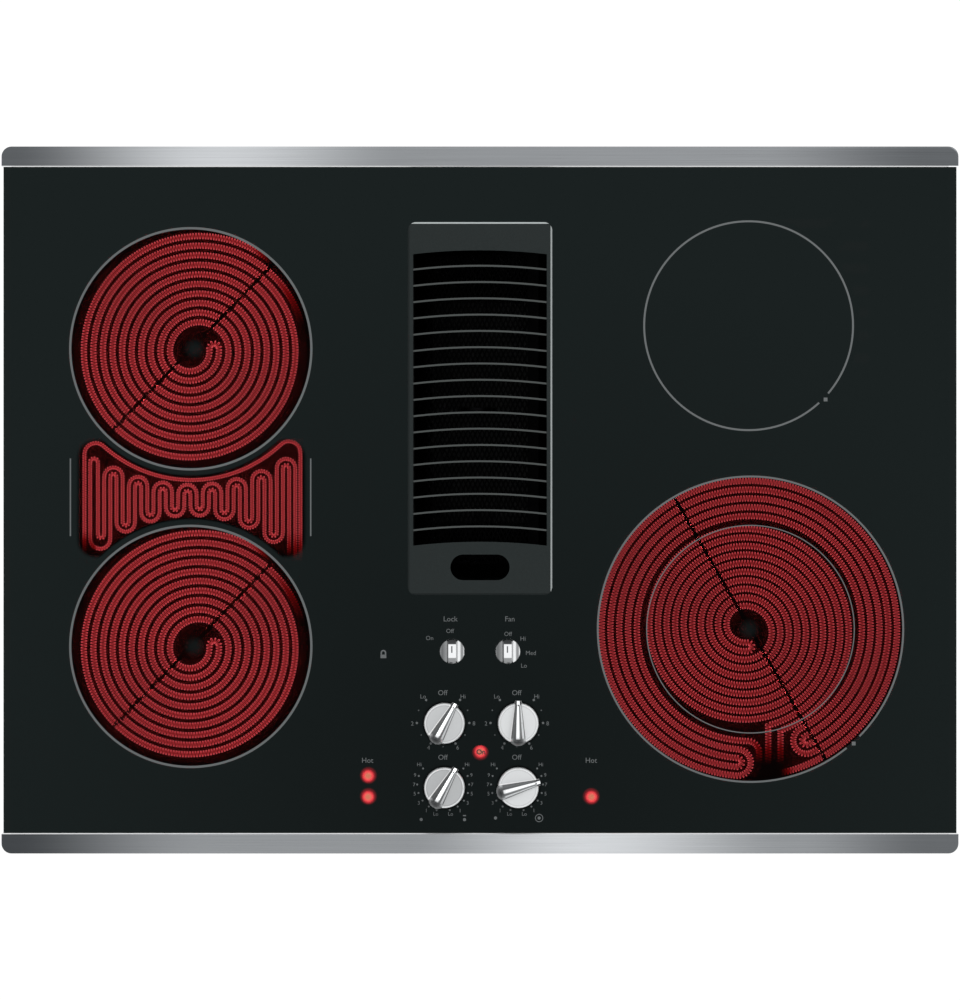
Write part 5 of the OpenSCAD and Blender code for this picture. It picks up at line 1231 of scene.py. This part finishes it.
def disc_mark(ink, x, y, radius):
    """A round spot of ink."""
    plate(ink, [(x + radius * math.cos(t * math.pi / 12), y + radius * math.sin(t * math.pi / 12))
                for t in range(24)])


def ring_mark(ink, x, y, radius, width, start=0.0, end=360.0):
    """A ring of ink, or the part of one between two angles."""
    whole = end - start >= 360
    count = max(16, round((end - start) / 2))
    rows = []
    for i in range(count if whole else count + 1):
        turn = math.radians(start + (end - start) * i / count)
        c, s = math.cos(turn), math.sin(turn)
        inner, outer = radius - width / 2, radius + width / 2
        rows.append([ink.verts.new(((x + r * c) * MM, (y + r * s) * MM, z * MM))
                     for r, z in ((inner, INK_FOOT), (outer, INK_FOOT),
                                  (outer, INK_TOP), (inner, INK_TOP))])
    for i in range(len(rows) if whole else len(rows) - 1):
        a, b = rows[i], rows[(i + 1) % len(rows)]
        for k in range(4):
            n = (k + 1) % 4
            ink.faces.new((a[k], b[k], b[n], a[n])[::-1])
    if not whole:
        ink.faces.new(rows[0])
        ink.faces.new(rows[-1][::-1])


print("ink height", INK, "mm")

# %% Rings round the elements
# A ring: its centre's pixel, its radius and width in millimetres, and the angles it runs between.
RINGS = ((190.8, 348.8, 95.6, 1.8, 0.0, 360.0), (190.8, 646.4, 95.6, 1.8, 0.0, 360.0),
         (748.6, 325.7, 82.8, 1.5, -40.4, 312.5), (750.5, 629.2, 121.1, 1.5, -44.5, 309.0),
         (750.5, 629.2, 82.3, 0.8, 0.0, 360.0))
RING_SPOTS = ((825.6, 399.5), (853.7, 743.5))
SIDE_LINES, LINE_TOP, LINE_FOOT, LINE_WIDTH = (70.4, 310.7), 458.5, 536.1, 1.1

for px, py, radius, width, start, end in RINGS:
    ring_mark(marks, *from_pixel(px, py), radius, width, start, end)
for px in SIDE_LINES:
    x, top = from_pixel(px, LINE_TOP)
    bottom = from_pixel(px, LINE_FOOT)[1]
    box_mark(marks, x, (top + bottom) / 2, LINE_WIDTH, top - bottom)
for px, py in RING_SPOTS:
    box_mark(marks, *from_pixel(px, py), 3.0, 3.0)
print("ring and line plates:", len(marks.faces), "faces")

# %% Signs
# Four dots stand below the front dials. One has a short bar above it and one a ring round it.
DOTS = ((421.2, 819.5), (464.5, 819.6), (495.5, 818.0), (539.1, 818.0))
PADLOCK = (383.4, 654.0)

for px, py in DOTS:
    disc_mark(marks, *from_pixel(px, py), 1.25)
box_mark(marks, *from_pixel(464.5, 815.6), 2.4, 0.9)
ring_mark(marks, *from_pixel(*DOTS[3]), 2.95, 0.55)
lock_x, lock_y = from_pixel(*PADLOCK)
box_mark(marks, lock_x, lock_y - 1.9, 4.6, 2.8)
ring_mark(marks, lock_x, lock_y + 1.0, 1.7, 1.1, 0.0, 180.0)
for side in (-1, 1):
    box_mark(marks, lock_x + side * 1.7, lock_y + 0.2, 1.1, 1.6)
print("signs made")

# %% [markdown]
# ## Dots round the dials
#
# A dial is a row of equal steps, so its dots are one small disc repeated by angle. The tree takes
# the centre, the radius, the first angle, the step and the number, and gives closed discs. Angles
# run clockwise from the OFF mark at the rear, as a cook counts them.

# %% The tree that sets dots round a dial
def dial_tree():
    """Geometry Nodes: equal discs along an arc, clockwise from the rear."""
    tree, given = new_tree("dots round a dial", "Base", "Dots", {
        "Centre": (0.0, 0.0, 0.0), "Radius": 0.02, "First": 0.7, "Step": 0.5, "Dot Radius": 0.0008,
        "Dot Height": 0.00005, "Count": 3})
    number = tree.nodes.new("GeometryNodeInputIndex").outputs[0]
    turn = math_of(tree, "ADD", product(tree, number, given["Step"]), given["First"])
    offset = vector_from(tree, X=product(tree, math_of(tree, "SINE", turn), given["Radius"]),
                         Y=product(tree, math_of(tree, "COSINE", turn), given["Radius"]))
    row = geo(tree, "SetPosition", {"Geometry": geo(tree, "Points", {"Count": given["Count"]}),
                                    "Position": vector_of(tree, "ADD", given["Centre"], offset)})
    dot = geo(tree, "MeshCylinder",
              {"Vertices": 16, "Radius": given["Dot Radius"], "Depth": given["Dot Height"]})
    return end_tree(tree, given, geo(tree, "InstanceOnPoints", {"Points": row, "Instance": dot}))


dot_tree = dial_tree()
print("tree:", dot_tree.name)

# %% Ink finishes
def ink_finish(name, low, high):
    """Matt ceramic ink with a fine grit, as fired screen print has."""
    return gritty(name, low, high, 3000.0, (0.45, 0.6), 0.004)


pale_ink = ink_finish("pale ceramic ink", (88, 92, 93), (98, 102, 103))
dim_ink = ink_finish("dim ceramic ink", (62, 66, 67), (72, 76, 77))
dark_ink = ink_finish("dark ceramic ink", (10, 9, 9), (16, 14, 14))
print("inks:", pale_ink.name, dim_ink.name, dark_ink.name)

# %% Set the dots
TOP_DIALS = ((443.1, 720.2), (516.8, 720.2))
FRONT_DIALS = ((443.2, 784.9), (517.0, 784.9))


def set_dots(name, pixel, radius, first, step, count, dot, finish):
    """One arc of dots round a dial, at a radius in millimetres."""
    x, y = from_pixel(*pixel)
    piece = grow(name, bpy.data.meshes.new(name), dot_tree,
                 Centre=(x * MM, y * MM, INK_MIDDLE * MM), Radius=radius * MM,
                 First=math.radians(first), Step=math.radians(step), Count=count,
                 Dot_Radius=dot * MM, Dot_Height=INK_DEPTH * MM, Finish=finish)
    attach(piece, "root")


for n, (name, pixel) in enumerate(zip(("rear_left", "rear_right"), TOP_DIALS)):
    for side, word in ((1, "more"), (-1, "less")):
        set_dots(f"{name}_dial_marks_{word}", pixel, 20.93, side * 40, side * 56, 3, 0.95, pale_ink)
        set_dots(f"{name}_dial_steps_{word}", pixel, 20.93, side * 68, side * 56,
                 3 if side > 0 else 2, 0.6, dim_ink)
for name, pixel in zip(("front_left", "front_right"), FRONT_DIALS):
    for side, word in ((1, "more"), (-1, "less")):
        set_dots(f"{name}_dial_marks_{word}", pixel, 20.6, side * 50.8, side * 19.1, 7, 0.75, pale_ink)
print("dots set round", len(TOP_DIALS) + len(FRONT_DIALS), "dials")

# %% [markdown]
# ## Words and numbers
#
# A label is set in the built-in font, turned into a mesh, and sized by its height. Each label is
# placed by the pixel of its middle. Only plain numbers and generic words are used.

# %% Labels
# The labels by the height of their capitals in millimetres, each with its middle's pixel.
LABELS = {
    4.0: (("Off", 442.9, 692.7), ("Off", 516.9, 692.7), ("Off", 443.1, 757.2), ("Off", 516.9, 757.2),
          ("Lock", 450.7, 618.9), ("Fan", 509.9, 618.9), ("Hot", 367.7, 760.3), ("Hot", 591.4, 760.3)),
    3.3: (("Off", 450.2, 630.9), ("On", 429.6, 638.0), ("Off", 508.2, 633.9), ("Hi", 523.0, 638.6),
          ("Med", 530.9, 652.9), ("Lo", 524.0, 665.6)),
}


def letters(text, cap, px, py, weight=0.0):
    """A plain mesh of one label: closed, and as high as its capitals should be."""
    curve = bpy.data.curves.new(text, "FONT")
    curve.body = text
    curve.extrude = 0.5
    curve.offset = weight
    curve.resolution_u = 3
    mesh = settle(put_in_scene(text, curve))
    bm = bmesh.new()
    bm.from_mesh(mesh)
    bmesh.ops.remove_doubles(bm, verts=bm.verts, dist=0.00001)
    xs = [v.co.x for v in bm.verts]
    ys = [v.co.y for v in bm.verts]
    scale = cap / (max(ys) - min(ys))
    x, y = from_pixel(px, py)
    for v in bm.verts:
        v.co = Vector(((x + (v.co.x - (max(xs) + min(xs)) / 2) * scale) * MM,
                       (y + (v.co.y - (max(ys) + min(ys)) / 2) * scale) * MM,
                       (INK_MIDDLE + v.co.z * INK_DEPTH) * MM))
    bm.to_mesh(mesh)
    bm.free()
    return mesh


def around(centre, radius, words, first, step):
    """Labels at equal steps round a dial, clockwise from the rear, at a radius in pixels."""
    return [(word, centre[0] + radius * math.sin(math.radians(first + step * i)),
             centre[1] - radius * math.cos(math.radians(first + step * i)))
            for i, word in enumerate(words)]


# The front dials' labels and, for the front left dial's right half, their pixels.
SCALE = ("Hi", "9", "7", "5", "3", "1", "Lo")
SPOTS = ((467.1, 764.4), (471.4, 775.0), (472.2, 784.5), (471.7, 793.7), (467.6, 802.9),
         (460.1, 810.5), (450.6, 813.9))
LABELS[3.2] = [label for centre in TOP_DIALS
               for words, side in ((("Hi", "8", "6"), 1), (("Lo", "2", "4"), -1))
               for label in around(centre, 31.0, words, side * 40, side * 56)]
LABELS[2.8] = [(word, cx + side * (px - FRONT_DIALS[0][0]), py) for cx, _ in FRONT_DIALS
               for word, (px, py) in zip(SCALE, SPOTS) for side in (1, -1)]


def add_mesh(ink, mesh):
    """Adds a label's mesh to the ink, and removes the loose mesh."""
    ink.from_mesh(mesh)
    bpy.data.meshes.remove(mesh)


for cap, labels in LABELS.items():
    for text, px, py in labels:
        add_mesh(marks, letters(text, cap, px, py))
print("labels:", sum(len(v) for v in LABELS.values()))

# %% Turn the ink into pieces
def print_piece(name, ink, finish):
    """Closes a set of ink marks into one piece on the glass."""
    bmesh.ops.recalc_face_normals(ink, faces=ink.faces)
    piece = object_from(name, ink, finish)
    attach(piece, "root")
    print(name, "has", len(piece.data.polygons), "faces")


print_piece("printed_marks", marks, pale_ink)
lamp_word = bmesh.new()
add_mesh(lamp_word, letters("On", 4.2, 480.8, 751.9, 0.03))
print_piece("lamp_word", lamp_word, dark_ink)

# %% [markdown]
# ## The filter's mesh
#
# A grease filter is a stack of expanded aluminium mesh in a channel: slits are cut in a sheet and
# it is pulled open into diamonds. Each row of diamonds shares its strands with the next, so the
# tree makes one zigzag strand, repeats it across the frame, and shifts every second one by half a
# diamond. Two sheets lie one above the other, with the second turned end for end.

# %% The tree that stretches the mesh
def expanded_tree():
    """Geometry Nodes: zigzag strands side by side, which meet and form diamonds."""
    tree, given = new_tree("expanded mesh", "Base", "Mesh", {
        "Length": 0.26, "Width": 0.12, "Diamond Length": 0.008, "Diamond Width": 0.0048,
        "Strand": 0.0006, "Level": 0.0})
    odd = math_of(tree, "MODULO", tree.nodes.new("GeometryNodeInputIndex").outputs[0], 2.0)
    half_length = product(tree, given["Length"], 0.5)
    line = geo(tree, "CurvePrimitiveLine", {
        "Start": vector_from(tree, Y=product(tree, half_length, -1.0), Z=given["Level"]),
        "End": vector_from(tree, Y=half_length, Z=given["Level"])})
    knees = geo(tree, "ResampleCurve",
                {"Curve": line, "Length": product(tree, given["Diamond Length"], 0.5)}, mode="LENGTH")
    reach = product(tree, math_of(tree, "SUBTRACT", odd, 0.5), given["Diamond Width"], 0.5)
    zigzag = geo(tree, "SetPosition", {"Geometry": knees, "Offset": vector_from(tree, X=reach)})
    strand = sweep(tree, zigzag, given["Strand"], given["Strand"])
    half_width = product(tree, given["Width"], 0.5)
    across = geo(tree, "CurvePrimitiveLine",
                 {"Start": vector_from(tree, X=product(tree, half_width, -1.0)),
                  "End": vector_from(tree, X=half_width)})
    places = geo(tree, "CurveToPoints",
                 {"Curve": across, "Length": product(tree, given["Diamond Width"], 0.5)},
                 mode="LENGTH")
    flip = math_of(tree, "SUBTRACT", 1.0, product(tree, odd, 2.0))
    sheet = geo(tree, "InstanceOnPoints", {"Points": places, "Instance": strand,
                                           "Scale": vector_from(tree, X=flip, Y=1.0, Z=1.0)})
    return end_tree(tree, given, sheet)


mesh_tree = expanded_tree()
print("tree:", mesh_tree.name)

# %% Stretch two sheets and lay them in the frame
FILTER_SLANT = -39.0
FILTER_MIDDLE = (0.0, 72.5, -63.0)
SHEET_LENGTH, SHEET_WIDTH, STRAND = 264, 121, 0.7
# The two sheets' levels in the frame, and their turns.
SHEETS = ((1.9, 0), (-1.9, 180))
sheets = bmesh.new()
for level, turn in SHEETS:
    sheet = grow("mesh sheet", bpy.data.meshes.new("mesh sheet"), mesh_tree,
                 Length=SHEET_LENGTH * MM, Width=SHEET_WIDTH * MM, Level=level * MM,
                 Strand=STRAND * MM, Finish=FINISHES["filter_aluminium"])
    sheet.data.transform(Matrix.Rotation(math.radians(turn), 4, "Z"))
    sheets.from_mesh(sheet.data)
    bpy.data.objects.remove(sheet)
bmesh.ops.recalc_face_normals(sheets, faces=sheets.faces)
bmesh.ops.transform(
    sheets, verts=sheets.verts,
    matrix=Matrix.Translation(Vector(FILTER_MIDDLE) * MM) @ Matrix.Rotation(
        math.radians(FILTER_SLANT), 4, "Y"))
filter_sheets = object_from("expanded_filter_mesh", sheets, FINISHES["filter_aluminium"])
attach(filter_sheets, "filter")
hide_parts("filter_mesh")
print("filter sheets:", len(filter_sheets.data.polygons), "faces")
